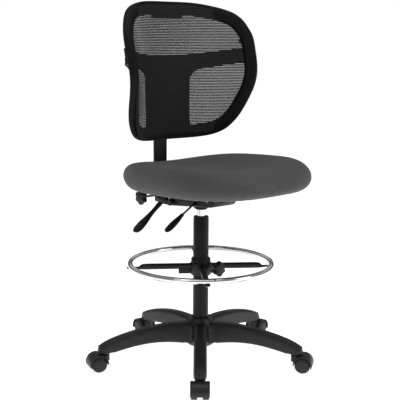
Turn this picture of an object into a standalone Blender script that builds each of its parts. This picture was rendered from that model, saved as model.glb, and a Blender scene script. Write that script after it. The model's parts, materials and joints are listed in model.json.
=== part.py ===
"""Drafting chair: five-star base on twin-wheel casters, gas lift, sliding foot ring,
seat mechanism with a tilting J-bar, padded saddle seat and a wrapped mesh back.

Metres, +Z up. The sitter faces -Y and +X is the sitter's left. Sizes are measured from
the column's axis, and AXIS_X and AXIS_Y place that axis so that the chair's bounding box
is centred on the origin. Heights of the base and of all that it carries are measured
from a datum plane DATUM below the floor. The casters' heights are measured from the floor.
"""

import math

import bmesh
import bpy
from mathutils import Matrix, Vector

# ---- driving dimensions -------------------------------------------------------

AXIS_X = -0.0083
AXIS_Y = -0.0165
DATUM = 0.018  # depth under the floor of the plane that heights above the casters count from

GAP = 0.0003  # between pieces that touch
RUNNING_FIT = 0.0004  # radial, between pieces that turn or slide

# Five-star base. Headings are degrees in plan: 0 is the chair's front, positive to +X.
ARM_COUNT = 5
ARM_FIRST_HEADING = -41.0
ARM_HALF_WIDTH = 0.020
SOCKET_RADIUS_FROM_AXIS = 0.320
ARM_UNDERSIDE = 0.073
HUB_TOP = 0.1645
HUB_RADIUS = 0.043

# Gas lift.
TUBE_RADIUS = 0.025
TUBE_FOOT_RADIUS = 0.0238
TUBE_WALL = 0.0025
TUBE_FOOT = 0.0725
TUBE_TOP = 0.495
CYLINDER_RADIUS = 0.014
CYLINDER_FOOT = 0.125
CYLINDER_TOP = 0.568
ROD_RADIUS = 0.005

# Casters.
WHEEL_RADIUS = 0.025
WHEEL_INNER_FACE = 0.0078
WHEEL_OUTER_FACE = 0.0285
CASTER_TRAIL = 0.024
STEM_RADIUS = 0.0055
AXLE_RADIUS = 0.003
CASTER_TURNS = (0.0, 4.0, 0.0, 0.0, 6.0)  # how far each caster has swivelled from its arm's line

# Foot ring.
RING_HEIGHT = 0.343
RING_RADIUS = 0.228
RING_TUBE_RADIUS = 0.009
SPOKE_HEIGHT = 0.335
SPOKE_RADIUS = 0.0093
SPOKE_FIRST_HEADING = -36.0
SPIDER_HUB_RADIUS = 0.034
SPIDER_HUB_FOOT = 0.307
SPIDER_HUB_TOP = 0.363
RING_KNOB_HEADING = 9.0

# Hand knobs, all three alike.
KNOB_RADIUS = 0.0225
KNOB_LOBE = 0.0025
KNOB_THICKNESS = 0.019
STUD_RADIUS = 0.004

# Seat mechanism.
HOUSING_FRONT = -0.118
HOUSING_REAR = 0.105
HOUSING_HALF_WIDTH = 0.050
HOUSING_TOP = 0.5870  # at the column's axis
HOUSING_WALL = 0.0025
SEAT_SLOPE = math.radians(2.0)  # the seat's rear is lower
PLATE_THICKNESS = 0.003
BOARD_THICKNESS = 0.0115
TILT_AXIS = (0.0, 0.098, 0.548)
HEIGHT_LEVER_AXIS = (-0.050, -0.030, 0.553)
BACK_LEVER_AXIS = (-0.053, 0.086, 0.536)

# Seat cushion.
SEAT_CENTRE_Y = -0.070
SEAT_HALF_WIDTH = 0.262
SEAT_HALF_DEPTH = 0.268
SEAT_THICKNESS = 0.072
SEAT_SQUARENESS = 2.7  # exponent of the outline's superellipse
SEAT_BOLSTER = 0.022
SEAT_FRONT_FALL = 0.022
SEAT_EDGE_RADIUS = 0.050
BOARD_INSET = 0.070  # from the cushion's outline; the cushion wraps the board's edge

# J-bar, which carries the back.
BAR_HALF_WIDTH = 0.025
BAR_THICKNESS = 0.012
BAR_LEG_HEIGHT = 0.548
BAR_LEG_FRONT = 0.119
BAR_BEND_RADIUS = 0.026
BAR_POST_Y = 0.2105
BAR_TOP = 0.992

# Clamps of the J-bar: depth in the carrier, height in the back bracket.
DEPTH_CLAMP = (0.165, 0.550)
DEPTH_KNOB_X = -0.106
HEIGHT_CLAMP = (BAR_POST_Y, 0.984)
HEIGHT_KNOB_X = -0.112

# Back. Its surface is y = centre(z) - wrap(z) * x**2.
BACK_OUTLINE = (
    (0.0, 1.176),
    (0.1235, 1.171),
    (0.218, 1.141),
    (0.258, 1.079),
    (0.262, 1.005),
    (0.2505, 0.8925),
    (0.217, 0.791),
    (0.150, 0.741),
    (0.0, 0.732),
)
BACK_BAND = 0.0215  # half the frame's width
BACK_FRAME_HALF_THICKNESS = 0.0075
BACK_LAYER_GAP = 0.0020  # between the frame and the sheets that follow its curve
PANEL_HALF_WIDTH = 0.086


def back_centre(z):
    """The back surface's depth on the chair's centre line: upright above, tucked forward below."""
    curl = 0.13 if z > 0.93 else -0.27
    return 0.1745 + curl * (z - 0.93) ** 2


def back_wrap(z):
    """How tightly the back wraps round the sitter at a height, strongest at the lumbar height."""
    return 1.79 + 0.57 * math.exp(-(((z - 0.93) / 0.11) ** 2))


# ---- scene, materials and mesh helpers ----------------------------------------


def clear_scene():
    for obj in list(bpy.data.objects):
        bpy.data.objects.remove(obj, do_unlink=True)


def make_material(name, colour, roughness, metallic=0.0):
    material = bpy.data.materials.new(name)
    material.use_nodes = True
    shader = material.node_tree.nodes["Principled BSDF"]
    shader.inputs["Base Color"].default_value = (*colour, 1.0)
    shader.inputs["Roughness"].default_value = roughness
    shader.inputs["Metallic"].default_value = metallic
    return material


def heading(degrees):
    """The unit vector in plan at a heading."""
    angle = math.radians(degrees)
    return Vector((math.sin(angle), -math.cos(angle), 0.0))


def turn_to(degrees):
    """The Z rotation that turns local +X to a heading."""
    return (0.0, 0.0, math.radians(degrees - 90.0))


def make_empty(name, location, parent=None, rotation=(0.0, 0.0, 0.0)):
    empty = bpy.data.objects.new(name, None)
    bpy.context.scene.collection.objects.link(empty)
    empty.location = location
    empty.rotation_euler = rotation
    empty.parent = parent
    return empty


def make_part(name, mesh, material, parent, location=(0.0, 0.0, 0.0), rotation=(0.0, 0.0, 0.0)):
    part = bpy.data.objects.new(name, mesh)
    bpy.context.scene.collection.objects.link(part)
    part.parent = parent
    part.location = location
    part.rotation_euler = rotation
    if not mesh.materials:
        mesh.materials.append(material)
    return part


def shade_round(mesh):
    mesh.shade_smooth()
    mesh.set_sharp_from_angle(angle=math.radians(38.0))
    return mesh


def mesh_from(name, shape):
    """Takes a finished bmesh, faces it outwards and frees it."""
    bmesh.ops.recalc_face_normals(shape, faces=shape.faces)
    mesh = bpy.data.meshes.new(name)
    shape.to_mesh(mesh)
    shape.free()
    return shade_round(mesh)


def loft(name, sections, ring=False):
    """A solid through sections of equally many points. A ring joins its last section to
    its first; any other loft is capped at both ends."""
    shape = bmesh.new()
    loops = [[shape.verts.new(point) for point in section] for section in sections]
    following = loops[1:] + loops[:1] if ring else loops[1:]
    for near, far in zip(loops, following):
        for i in range(len(near)):
            j = (i + 1) % len(near)
            shape.faces.new((near[i], near[j], far[j], far[i]))
    if not ring:
        shape.faces.new(loops[0])
        shape.faces.new(loops[-1])
    return mesh_from(name, shape)


def circle(radius, height, steps):
    """Points of a circle about Z, with a flat side, not a corner, facing each axis."""
    angles = [2.0 * math.pi * (k + 0.5) / steps for k in range(steps)]
    return [(radius * math.cos(a), radius * math.sin(a), height) for a in angles]


def turned(name, profile, steps, ring=False):
    """A profile of (radius, height) points turned about Z. A ring's profile is closed."""
    return loft(name, [circle(radius, height, steps) for radius, height in profile], ring)


def prism(name, outline, low, high, along):
    """A 2D outline extruded along X, where it holds (y, z), along Y (x, z) or Z (x, y)."""
    place = {
        "X": lambda u, v, w: (w, u, v),
        "Y": lambda u, v, w: (u, w, v),
        "Z": lambda u, v, w: (u, v, w),
    }[along]
    return loft(name, [[place(u, v, w) for u, v in outline] for w in (low, high)])


def block(name, low, high):
    outline = ((low[0], low[1]), (high[0], low[1]), (high[0], high[1]), (low[0], high[1]))
    return prism(name, outline, low[2], high[2], "Z")


def arc(centre, radius, start, end, steps):
    """Points from one angle to another, in degrees, both ends included."""
    angles = [math.radians(start + (end - start) * k / steps) for k in range(steps + 1)]
    return [(centre[0] + radius * math.cos(a), centre[1] + radius * math.sin(a)) for a in angles]


def superellipse(half_width, half_depth, power, steps):
    """Points of a rounded rectangle about the origin."""
    points = []
    for k in range(steps):
        c = math.cos(2.0 * math.pi * k / steps)
        s = math.sin(2.0 * math.pi * k / steps)
        x = math.copysign(abs(c) ** (2.0 / power), c) * half_width
        y = math.copysign(abs(s) ** (2.0 / power), s) * half_depth
        points.append((x, y))
    return points


def smooth_through(points, per_span):
    """A Catmull-Rom curve through 2D points that mirrors its first and last neighbour in x,
    so that half an outline meets its mirror image smoothly."""
    count = len(points)
    before = (-points[1][0], points[1][1])
    after = (-points[-2][0], points[-2][1])
    padded = [Vector(p) for p in (before, *points, after)]
    curve = []
    for i in range(1, count):
        p0, p1, p2, p3 = padded[i - 1 : i + 3]
        for k in range(per_span):
            t = k / per_span
            bend = (2.0 * p0 - 5.0 * p1 + 4.0 * p2 - p3) * t * t
            twist = (3.0 * p1 - p0 - 3.0 * p2 + p3) * t * t * t
            curve.append(0.5 * (2.0 * p1 + (p2 - p0) * t + bend + twist))
    curve.append(Vector(points[-1]))
    return curve


def tube_along(name, path, radius, steps):
    """A round bar through 3D points, capped at both ends."""
    sections = []
    points = [Vector(p) for p in path]
    for i, point in enumerate(points):
        ahead = points[min(i + 1, len(points) - 1)]
        behind = points[max(i - 1, 0)]
        turn = (ahead - behind).to_track_quat("Z", "Y").to_matrix()
        sections.append([point + turn @ Vector(p) for p in circle(radius, 0.0, steps)])
    return loft(name, sections)


def helper(name, mesh, parent, location=(0.0, 0.0, 0.0), rotation=(0.0, 0.0, 0.0)):
    """A cutter or an addition for a Boolean: it isn't part of the chair."""
    obj = bpy.data.objects.new(name, mesh)
    bpy.context.scene.collection.objects.link(obj)
    obj.parent = parent
    obj.location = location
    obj.rotation_euler = rotation
    obj.hide_render = True
    obj.display_type = "WIRE"
    return obj


def combine(part, operation, others):
    for other in others:
        boolean = part.modifiers.new(f"{operation} {other.name}", "BOOLEAN")
        boolean.operation = operation
        boolean.solver = "EXACT"
        boolean.object = other


def bevel(part, width, segments=1):
    modifier = part.modifiers.new("edges", "BEVEL")
    modifier.width = width
    modifier.segments = segments
    modifier.limit_method = "ANGLE"
    modifier.angle_limit = math.radians(50.0)


def bake(part):
    """The part's mesh with its modifiers applied, for copies to share."""
    bpy.context.view_layer.update()
    graph = bpy.context.evaluated_depsgraph_get()
    return bpy.data.meshes.new_from_object(part.evaluated_get(graph))


# ---- five-star base -----------------------------------------------------------


def arm_section(distance, end_width, end_drop):
    """An arm's section: a crest that falls faster outwards, sloping shoulders and a wider, arched foot."""
    flare = max(0.0, (0.075 - distance) / 0.045) ** 2
    half = ARM_HALF_WIDTH * end_width + 0.010 * flare
    top = 0.1525 - 0.72 * max(0.0, distance - 0.070) ** 2 - end_drop
    arch = math.sin(math.pi * min(distance / 0.31, 1.0))
    foot = ARM_UNDERSIDE + 0.024 * arch
    side = (
        (0.86 * half, foot),
        (half, foot + 0.003),
        (0.96 * half, top - 0.014),
        (0.84 * half, top - 0.004),
        (0.60 * half, top),
    )
    mirrored = [(-y, z) for y, z in reversed(side)]
    return [(distance, y, z) for y, z in (*side, *mirrored)]


def make_base(root, plastic):
    stations = (
        (0.016, 1.0, 0.016),
        (0.046, 1.0, 0.001),
        (0.060, 1.0, 0.0),
        (0.080, 1.0, 0.0),
        (0.125, 1.0, 0.0),
        (0.170, 1.0, 0.0),
        (0.215, 1.0, 0.0),
        (0.265, 1.0, 0.0),
        (0.314, 1.0, 0.002),
        (0.331, 0.80, 0.004),
        (0.340, 0.45, 0.006),
    )
    arm_mesh = loft("base_arm", [arm_section(*station) for station in stations])
    foot_slope = (TUBE_RADIUS - TUBE_FOOT_RADIUS) / (HUB_TOP - TUBE_FOOT)
    bore_low, bore_high = 0.060, 0.180
    bore_radii = [TUBE_FOOT_RADIUS + GAP + foot_slope * (z - TUBE_FOOT) for z in (bore_low, bore_high)]
    bore_mesh = turned("base_bore", list(zip(bore_radii, (bore_low, bore_high))), 32)
    socket_mesh = turned("base_socket", [(STEM_RADIUS + GAP, 0.060), (STEM_RADIUS + GAP, 0.0980)], 10)

    hub_profile = [
        (HUB_RADIUS - 0.003, 0.074),
        (HUB_RADIUS, 0.078),
        (HUB_RADIUS, 0.146),
        (0.037, 0.158),
        (0.034, HUB_TOP),
    ]
    base = make_part("star_base", turned("star_base", hub_profile, 32), plastic, root)
    arms = []
    holes = [helper("base_bore", bore_mesh, root)]
    for i in range(ARM_COUNT):
        degrees = ARM_FIRST_HEADING + 360.0 * i / ARM_COUNT
        arms.append(helper(f"base_arm_{i + 1}", arm_mesh, root, rotation=turn_to(degrees)))
        place = heading(degrees) * SOCKET_RADIUS_FROM_AXIS
        holes.append(helper(f"base_socket_{i + 1}", socket_mesh, root, place))
    combine(base, "UNION", arms)
    combine(base, "DIFFERENCE", holes)


# ---- casters ------------------------------------------------------------------


def caster_hood_mesh(plastic):
    """The hood in the caster's own frame: the stem is its Z axis, the wheels trail along +X."""
    axle = (CASTER_TRAIL, WHEEL_RADIUS)
    shell_outer, shell_inner, web_radius = 0.0297, 0.0272, 0.0145
    web_half, shell_half = 0.0070, 0.0282
    shell_start, shell_end = -16.0, 184.0
    boss_foot, boss_top, boss_radius = 0.0310, 0.0537, 0.0160

    shell = arc(axle, shell_outer, shell_start, shell_end, 7)
    shell += arc(axle, shell_inner, shell_end, shell_start, 7)
    web = arc(axle, 0.5 * (shell_outer + shell_inner), shell_start + 3.0, shell_end - 3.0, 7)
    web += arc(axle, web_radius, 200.0, 340.0, 8)
    boss = [
        (boss_radius, boss_foot),
        (boss_radius, boss_top - 0.003),
        (boss_radius - 0.003, boss_top),
    ]
    stem_fit = STEM_RADIUS - 0.0005 + RUNNING_FIT

    hood = make_part("hood_pattern", prism("hood_pattern", shell, -shell_half, shell_half, "Y"), plastic, None)
    web_part = helper("hood_web", prism("hood_web", web, -web_half, web_half, "Y"), None)
    boss_part = helper("hood_boss", turned("hood_boss", boss, 16), None)
    stem_hole = turned("hood_stem_hole", [(stem_fit, 0.0340), (stem_fit, 0.060)], 10)
    arch = turned("hood_arch", [(shell_inner, web_half), (shell_inner, 0.030)], 32)
    axle_hole = turned("hood_axle_hole", [(AXLE_RADIUS + GAP, -0.02), (AXLE_RADIUS + GAP, 0.02)], 10)
    stem_cut = helper("hood_stem_hole", stem_hole, None)
    axle_cut = helper(
        "hood_axle_hole", axle_hole, None, (axle[0], 0.0, axle[1]), (math.radians(90.0), 0.0, 0.0)
    )
    arches = [
        helper("hood_arch", arch, None, (axle[0], 0.0, axle[1]), (math.radians(side), 0.0, 0.0)) for side in (90.0, -90.0)
    ]
    combine(hood, "UNION", [boss_part])
    combine(hood, "DIFFERENCE", arches)
    combine(hood, "UNION", [web_part])
    combine(hood, "DIFFERENCE", [stem_cut, axle_cut])
    mesh = bake(hood)
    for pattern in (hood, web_part, boss_part, stem_cut, axle_cut, *arches):
        bpy.data.objects.remove(pattern, do_unlink=True)
    return shade_round(mesh)


def make_casters(root, plastic, steel):
    hood_mesh = caster_hood_mesh(plastic)
    stem_profile = [
        (0.0035, 0.0350),
        (STEM_RADIUS - 0.0005, 0.0360),
        (STEM_RADIUS - 0.0005, 0.0540),
        (0.0080, 0.0540),
        (0.0080, 0.0547),
        (STEM_RADIUS, 0.0547),
        (STEM_RADIUS, 0.0755),
        (0.0045, 0.0785),
    ]
    stem_mesh = turned("caster_stem", stem_profile, 10)
    axle_half = 0.0238
    axle_mesh = turned("caster_axle", [(AXLE_RADIUS, -axle_half), (AXLE_RADIUS, axle_half)], 10)
    rim = WHEEL_RADIUS / math.cos(math.pi / 20)
    bore = AXLE_RADIUS + RUNNING_FIT
    wheel_profile = [
        (bore, axle_half + RUNNING_FIT),
        (bore, WHEEL_INNER_FACE),
        (rim - 0.0012, WHEEL_INNER_FACE),
        (rim, WHEEL_INNER_FACE + 0.0012),
        (rim, WHEEL_OUTER_FACE - 0.0050),
        (rim - 0.0035, WHEEL_OUTER_FACE - 0.0010),
        (rim - 0.0080, WHEEL_OUTER_FACE),
    ]
    wheel_mesh = turned("caster_wheel", wheel_profile, 20)
    for i in range(ARM_COUNT):
        n = i + 1
        arm = ARM_FIRST_HEADING + 360.0 * i / ARM_COUNT
        place = heading(arm) * SOCKET_RADIUS_FROM_AXIS + Vector((0.0, 0.0, DATUM))
        swivel = make_empty(f"caster_swivel_{n}", place, root, turn_to(arm + CASTER_TURNS[i]))
        hub = make_empty(f"caster_wheel_axis_{n}", (CASTER_TRAIL, 0.0, WHEEL_RADIUS), swivel)
        make_part(f"caster_stem_{n}", stem_mesh, steel, swivel)
        make_part(f"caster_hood_{n}", hood_mesh, plastic, swivel)
        make_part(f"caster_axle_{n}", axle_mesh, steel, hub, rotation=(math.radians(-90.0), 0.0, 0.0))
        make_part(f"caster_wheel_left_{n}", wheel_mesh, plastic, hub, rotation=(math.radians(-90.0), 0.0, 0.0))
        make_part(f"caster_wheel_right_{n}", wheel_mesh, plastic, hub, rotation=(math.radians(90.0), 0.0, 0.0))


# ---- gas lift -----------------------------------------------------------------


def make_gas_lift(root, plastic, painted_steel, chrome, steel):
    floor = TUBE_FOOT + 0.004
    inner = TUBE_RADIUS - TUBE_WALL
    rod_hole = 0.0068
    tube = [
        (rod_hole, TUBE_FOOT),
        (TUBE_FOOT_RADIUS, TUBE_FOOT),
        (TUBE_RADIUS, HUB_TOP),
        (TUBE_RADIUS, TUBE_TOP - 0.0015),
        (TUBE_RADIUS - 0.0008, TUBE_TOP),
        (inner, TUBE_TOP),
        (inner - 0.0012, floor),
        (rod_hole, floor),
    ]
    make_part("column_tube", turned("column_tube", tube, 32, ring=True), painted_steel, root)

    slide = CYLINDER_RADIUS + RUNNING_FIT
    bushing = [
        (slide, TUBE_TOP - 0.055),
        (inner - 0.0005, TUBE_TOP - 0.055),
        (inner - GAP, TUBE_TOP + GAP),
        (TUBE_RADIUS - 0.0012, TUBE_TOP + GAP),
        (TUBE_RADIUS - 0.0012, TUBE_TOP + 0.003),
        (TUBE_RADIUS - 0.0035, TUBE_TOP + 0.005),
        (slide, TUBE_TOP + 0.005),
    ]
    make_part("column_bushing", turned("column_bushing", bushing, 24, ring=True), plastic, root)

    bearing_foot = floor + GAP
    bearing_top = bearing_foot + 0.004
    bearing = [(0.006, bearing_foot), (0.0125, bearing_foot), (0.0125, bearing_top), (0.006, bearing_top)]
    make_part("thrust_bearing", turned("thrust_bearing", bearing, 16, ring=True), steel, root)

    shoulder = bearing_top + GAP
    piston_foot, piston_top = 0.3395, 0.3520
    rod = [
        (ROD_RADIUS - 0.001, 0.0655),
        (ROD_RADIUS, 0.0665),
        (ROD_RADIUS, shoulder),
        (0.0085, shoulder),
        (0.0085, shoulder + 0.0035),
        (ROD_RADIUS, shoulder + 0.0035),
        (ROD_RADIUS, piston_foot),
        (0.0112, piston_foot),
        (0.0112, piston_top),
    ]
    make_part("piston_rod", turned("piston_rod", rod, 14), chrome, root)
    clip = [(ROD_RADIUS + GAP, 0.0695), (0.009, 0.0695), (0.009, 0.0710), (ROD_RADIUS + GAP, 0.0710)]
    make_part("rod_clip", turned("rod_clip", clip, 14, ring=True), steel, root)

    pin_hole, pin_floor = 0.0045, 0.5505
    cavity_radius, cavity_top = 0.012, 0.543
    cylinder = [
        (pin_hole, pin_floor),
        (pin_hole, CYLINDER_TOP),
        (CYLINDER_RADIUS - 0.0012, CYLINDER_TOP),
        (CYLINDER_RADIUS, CYLINDER_TOP - 0.045),
        (CYLINDER_RADIUS, CYLINDER_FOOT + 0.001),
        (CYLINDER_RADIUS - 0.001, CYLINDER_FOOT),
        (ROD_RADIUS + 0.0008, CYLINDER_FOOT),
        (ROD_RADIUS + 0.0008, CYLINDER_FOOT + 0.004),
        (cavity_radius, CYLINDER_FOOT + 0.004),
        (cavity_radius, cavity_top),
    ]
    make_part("gas_cylinder", turned("gas_cylinder", cylinder, 24), chrome, root)
    button = [(0.0041, pin_floor + 0.005), (0.0041, CYLINDER_TOP + 0.002), (0.003, CYLINDER_TOP + 0.003)]
    make_part("release_button", turned("release_button", button, 12), steel, root)


# ---- knobs --------------------------------------------------------------------


def knob_mesh():
    """A six-lobed hand knob about Z, standing on z = 0."""
    lobes, per_lobe = 6, 4
    sections = []
    rings = ((0.80, 0.0), (1.0, 0.0035), (1.0, 0.013), (0.82, 0.0175), (0.45, KNOB_THICKNESS))
    for scale, height in rings:
        section = []
        for k in range(lobes * per_lobe):
            angle = 2.0 * math.pi * k / (lobes * per_lobe)
            radius = scale * (KNOB_RADIUS + KNOB_LOBE * math.cos(lobes * angle))
            section.append((radius * math.cos(angle), radius * math.sin(angle), height))
        sections.append(section)
    return loft("knob", sections)


def make_clamp(name, mesh, parent, stud_start, stud_end, material, steel, rotation):
    """A knob on its threaded stud. Both stand on the parent's clamp axis, along local +Z."""
    axis = make_empty(f"{name}_axis", (0.0, 0.0, 0.0), parent, rotation)
    stud = turned(f"{name}_stud", [(STUD_RADIUS, stud_start), (STUD_RADIUS, stud_end - GAP)], 12)
    make_part(f"{name}_stud", stud, steel, axis)
    make_part(f"{name}_knob", mesh, material, axis, (0.0, 0.0, stud_end))


# ---- foot ring ----------------------------------------------------------------


def spoke_section(distance, half_width, low, high):
    """An eight-sided spoke section between two heights."""
    cut = 0.55
    middle = 0.5 * (low + high)
    half_height = 0.5 * (high - low)
    corners = ((1.0, -cut), (1.0, cut), (cut, 1.0), (-cut, 1.0), (-1.0, cut), (-1.0, -cut), (-cut, -1.0), (cut, -1.0))
    return [(distance, half_width * y, middle + half_height * z) for y, z in corners]


def make_foot_ring(root, plastic, chrome, steel, knob):
    slide = make_empty("foot_ring_slide", (0.0, 0.0, 0.0), root)
    ring_foot = RING_HEIGHT - RING_TUBE_RADIUS
    tab_top = ring_foot - GAP
    low, high = SPOKE_HEIGHT - SPOKE_RADIUS, SPOKE_HEIGHT + SPOKE_RADIUS
    spoke = loft(
        "spider_spoke",
        [
            spoke_section(0.028, SPOKE_RADIUS, low, high),
            spoke_section(0.196, SPOKE_RADIUS - 0.0008, low, high - 0.001),
            spoke_section(0.2155, SPOKE_RADIUS, tab_top - 0.0045, tab_top),
            spoke_section(0.234, SPOKE_RADIUS, tab_top - 0.0045, tab_top),
            spoke_section(0.239, 0.6 * SPOKE_RADIUS, tab_top - 0.0040, tab_top - 0.0005),
        ],
    )
    hub = [
        (SPIDER_HUB_RADIUS - 0.004, SPIDER_HUB_FOOT),
        (SPIDER_HUB_RADIUS, SPIDER_HUB_FOOT + 0.004),
        (SPIDER_HUB_RADIUS, SPIDER_HUB_TOP - 0.016),
        (SPIDER_HUB_RADIUS - 0.004, SPIDER_HUB_TOP - 0.012),
        (SPIDER_HUB_RADIUS - 0.004, SPIDER_HUB_TOP),
    ]
    bore_radius = TUBE_RADIUS + RUNNING_FIT
    bore = turned("spider_bore", [(bore_radius, 0.29), (bore_radius, 0.38)], 32)
    lug = turned("spider_lug", [(0.0115, 0.027), (0.0115, 0.036), (0.0095, 0.040)], 14)
    stud_hole = turned("spider_stud_hole", [(STUD_RADIUS + GAP, 0.015), (STUD_RADIUS + GAP, 0.045)], 12)
    screw_hole = turned("screw_hole", [(0.0024, 0.315), (0.0024, ring_foot + 0.0045)], 8)

    spider = make_part("foot_ring_spider", turned("foot_ring_spider", hub, 32), plastic, slide)
    ring_sections = []
    ring_steps, tube_steps = 40, 8
    for k in range(ring_steps):
        direction = heading(360.0 * k / ring_steps)
        section = []
        for x, z in arc((RING_RADIUS, RING_HEIGHT), RING_TUBE_RADIUS, 0.0, 360.0, tube_steps)[:-1]:
            section.append(direction * x + Vector((0.0, 0.0, z)))
        ring_sections.append(section)
    ring = make_part("foot_ring", loft("foot_ring", ring_sections, ring=True), chrome, slide)

    screw_profile = [
        (0.0045, tab_top - 0.0075),
        (0.0052, tab_top - 0.0045 - GAP),
        (0.0021, tab_top - 0.0045 - GAP),
        (0.0021, ring_foot + 0.0040),
    ]
    screw_mesh = turned("foot_ring_screw", screw_profile, 8)
    spokes = []
    screw_holes = []
    for i in range(4):
        degrees = SPOKE_FIRST_HEADING + 90.0 * i
        place = heading(degrees) * RING_RADIUS
        spokes.append(helper(f"spider_spoke_{i + 1}", spoke, slide, rotation=turn_to(degrees)))
        screw_holes.append(helper(f"screw_hole_{i + 1}", screw_hole, slide, place))
        make_part(f"foot_ring_screw_{i + 1}", screw_mesh, steel, slide, place)

    clamp = make_empty(
        "foot_ring_clamp_place", (0.0, 0.0, SPOKE_HEIGHT + 0.002), slide, turn_to(RING_KNOB_HEADING)
    )
    sideways = (0.0, math.radians(90.0), 0.0)
    lug_part = helper("spider_lug", lug, clamp, rotation=sideways)
    stud_cut = helper("spider_stud_hole", stud_hole, clamp, rotation=sideways)
    bore_cut = helper("spider_bore", bore, slide)
    combine(spider, "UNION", [*spokes, lug_part])
    combine(spider, "DIFFERENCE", [bore_cut, stud_cut, *screw_holes])
    combine(ring, "DIFFERENCE", screw_holes)
    make_clamp("foot_ring_clamp", knob, clamp, TUBE_RADIUS + 0.0006, 0.068, plastic, steel, sideways)


# ---- seat mechanism -----------------------------------------------------------


def housing_top(y):
    return HOUSING_TOP - math.tan(SEAT_SLOPE) * y


def make_housing(root, painted_steel):
    def outline(inset, rise):
        front, rear = HOUSING_FRONT + inset, HOUSING_REAR - inset
        return (
            (front, housing_top(front) + rise),
            (front, 0.562 + 0.4 * inset),
            (-0.103 + 0.4 * inset, 0.545 + inset),
            (rear, 0.5235 + inset),
            (rear, housing_top(rear) + rise),
        )

    pan = prism("mechanism_housing", outline(0.0, 0.0), -HOUSING_HALF_WIDTH, HOUSING_HALF_WIDTH, "X")
    inner_half = HOUSING_HALF_WIDTH - HOUSING_WALL
    hollow = prism("housing_hollow", outline(HOUSING_WALL, 0.02), -inner_half, inner_half, "X")
    boss_radius = 0.0195
    boss = turned("housing_boss", [(boss_radius, 0.5225), (boss_radius, 0.562)], 24)
    bore_radius = CYLINDER_RADIUS + GAP
    bore = turned("housing_bore", [(bore_radius, 0.50), (bore_radius, 0.60)], 24)
    lever_slot = block("housing_lever_slot", (-0.060, -0.037, 0.545), (-0.040, -0.023, 0.562))
    pin_hole = turned("housing_pin_hole", [(0.0048, -0.07), (0.0048, 0.07)], 12)
    lever_hole = turned("housing_back_lever_hole", [(0.0048, -0.012), (0.0048, 0.012)], 12)
    rear_gate = block("housing_rear_gate", (-0.038, 0.080, 0.5335), (0.038, 0.120, 0.600))

    housing = make_part("mechanism_housing", pan, painted_steel, root)
    sideways = (0.0, math.radians(90.0), 0.0)
    lever_place = (-HOUSING_HALF_WIDTH, BACK_LEVER_AXIS[1], BACK_LEVER_AXIS[2])
    combine(housing, "DIFFERENCE", [helper("housing_hollow", hollow, root)])
    combine(housing, "UNION", [helper("housing_boss", boss, root)])
    cuts = [
        helper("housing_bore", bore, root),
        helper("housing_lever_slot", lever_slot, root),
        helper("housing_pin_hole", pin_hole, root, TILT_AXIS, sideways),
        helper("housing_back_lever_hole", lever_hole, root, lever_place, sideways),
        helper("housing_rear_gate", rear_gate, root),
    ]
    combine(housing, "DIFFERENCE", cuts)


def make_seat_plate(root, painted_steel):
    """The steel plate that closes the housing and takes the seat's bolts."""
    outline = superellipse(0.088, 0.122, 8.0, 24)
    mesh = prism("mechanism_plate", outline, GAP, GAP + PLATE_THICKNESS, "Z")
    make_part("mechanism_plate", mesh, painted_steel, root, (0.0, 0.0, HOUSING_TOP), (-SEAT_SLOPE, 0.0, 0.0))


def make_height_lever(root, plastic, painted_steel):
    x, y, z = HEIGHT_LEVER_AXIS
    pivot = make_empty("height_lever_axis", HEIGHT_LEVER_AXIS, root)
    path = (
        (0.052, 0.031, 0.0213),
        (0.030, 0.017, 0.0205),
        (0.010, 0.003, 0.0120),
        (0.000, 0.000, 0.0020),
        (-0.012, 0.000, -0.0080),
        (-0.0505, 0.000, -0.0315),
    )
    make_part("height_lever_rod", tube_along("height_lever_rod", path, 0.0033, 8), painted_steel, pivot)

    slope = math.radians(34.5)
    grip = make_empty("height_lever_grip", (-0.0512, 0.0, -0.0321), pivot, (0.0, -slope, 0.0))
    stations = (
        (0.000, 0.0055, 0.0050),
        (0.008, 0.0060, 0.0055),
        (0.022, 0.0095, 0.0055),
        (0.050, 0.0130, 0.0060),
        (0.070, 0.0120, 0.0055),
        (0.078, 0.0070, 0.0035),
    )
    sections = [[(-d, w * u, t * v) for u, v in superellipse(1.0, 1.0, 2.6, 10)] for d, w, t in stations]
    make_part("height_lever_handle", loft("height_lever_handle", sections), plastic, grip)


def make_back_lever(root, plastic, steel):
    """The large paddle that frees the back's angle, on a pin through the housing's wall."""
    pivot = make_empty("back_lever_axis", BACK_LEVER_AXIS, root)
    pin = turned("back_lever_pin", [(0.0042, -0.0015), (0.0042, 0.0100)], 12)
    make_part("back_lever_pin", pin, steel, pivot, rotation=(0.0, math.radians(90.0), 0.0))

    slope = math.radians(38.5)
    grip = make_empty("back_lever_grip", (-0.0025, 0.050, -0.005), pivot, (0.0, -slope, 0.0))
    stations = (
        (-0.002, 0.0080, 0.0050),
        (0.012, 0.0095, 0.0060),
        (0.040, 0.0085, 0.0055),
        (0.075, 0.0135, 0.0060),
        (0.105, 0.0195, 0.0060),
        (0.126, 0.0190, 0.0055),
        (0.137, 0.0125, 0.0040),
    )
    sections = [[(-d, w * u, t * v) for u, v in superellipse(1.0, 1.0, 2.8, 12)] for d, w, t in stations]
    paddle = make_part("back_lever_paddle", loft("back_lever_paddle", sections), plastic, grip)
    crank = helper(
        "back_lever_crank",
        block("back_lever_crank", (-0.0085, -0.009, -0.008), (-0.0022, 0.056, 0.008)),
        pivot,
    )
    combine(paddle, "UNION", [crank])


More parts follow.
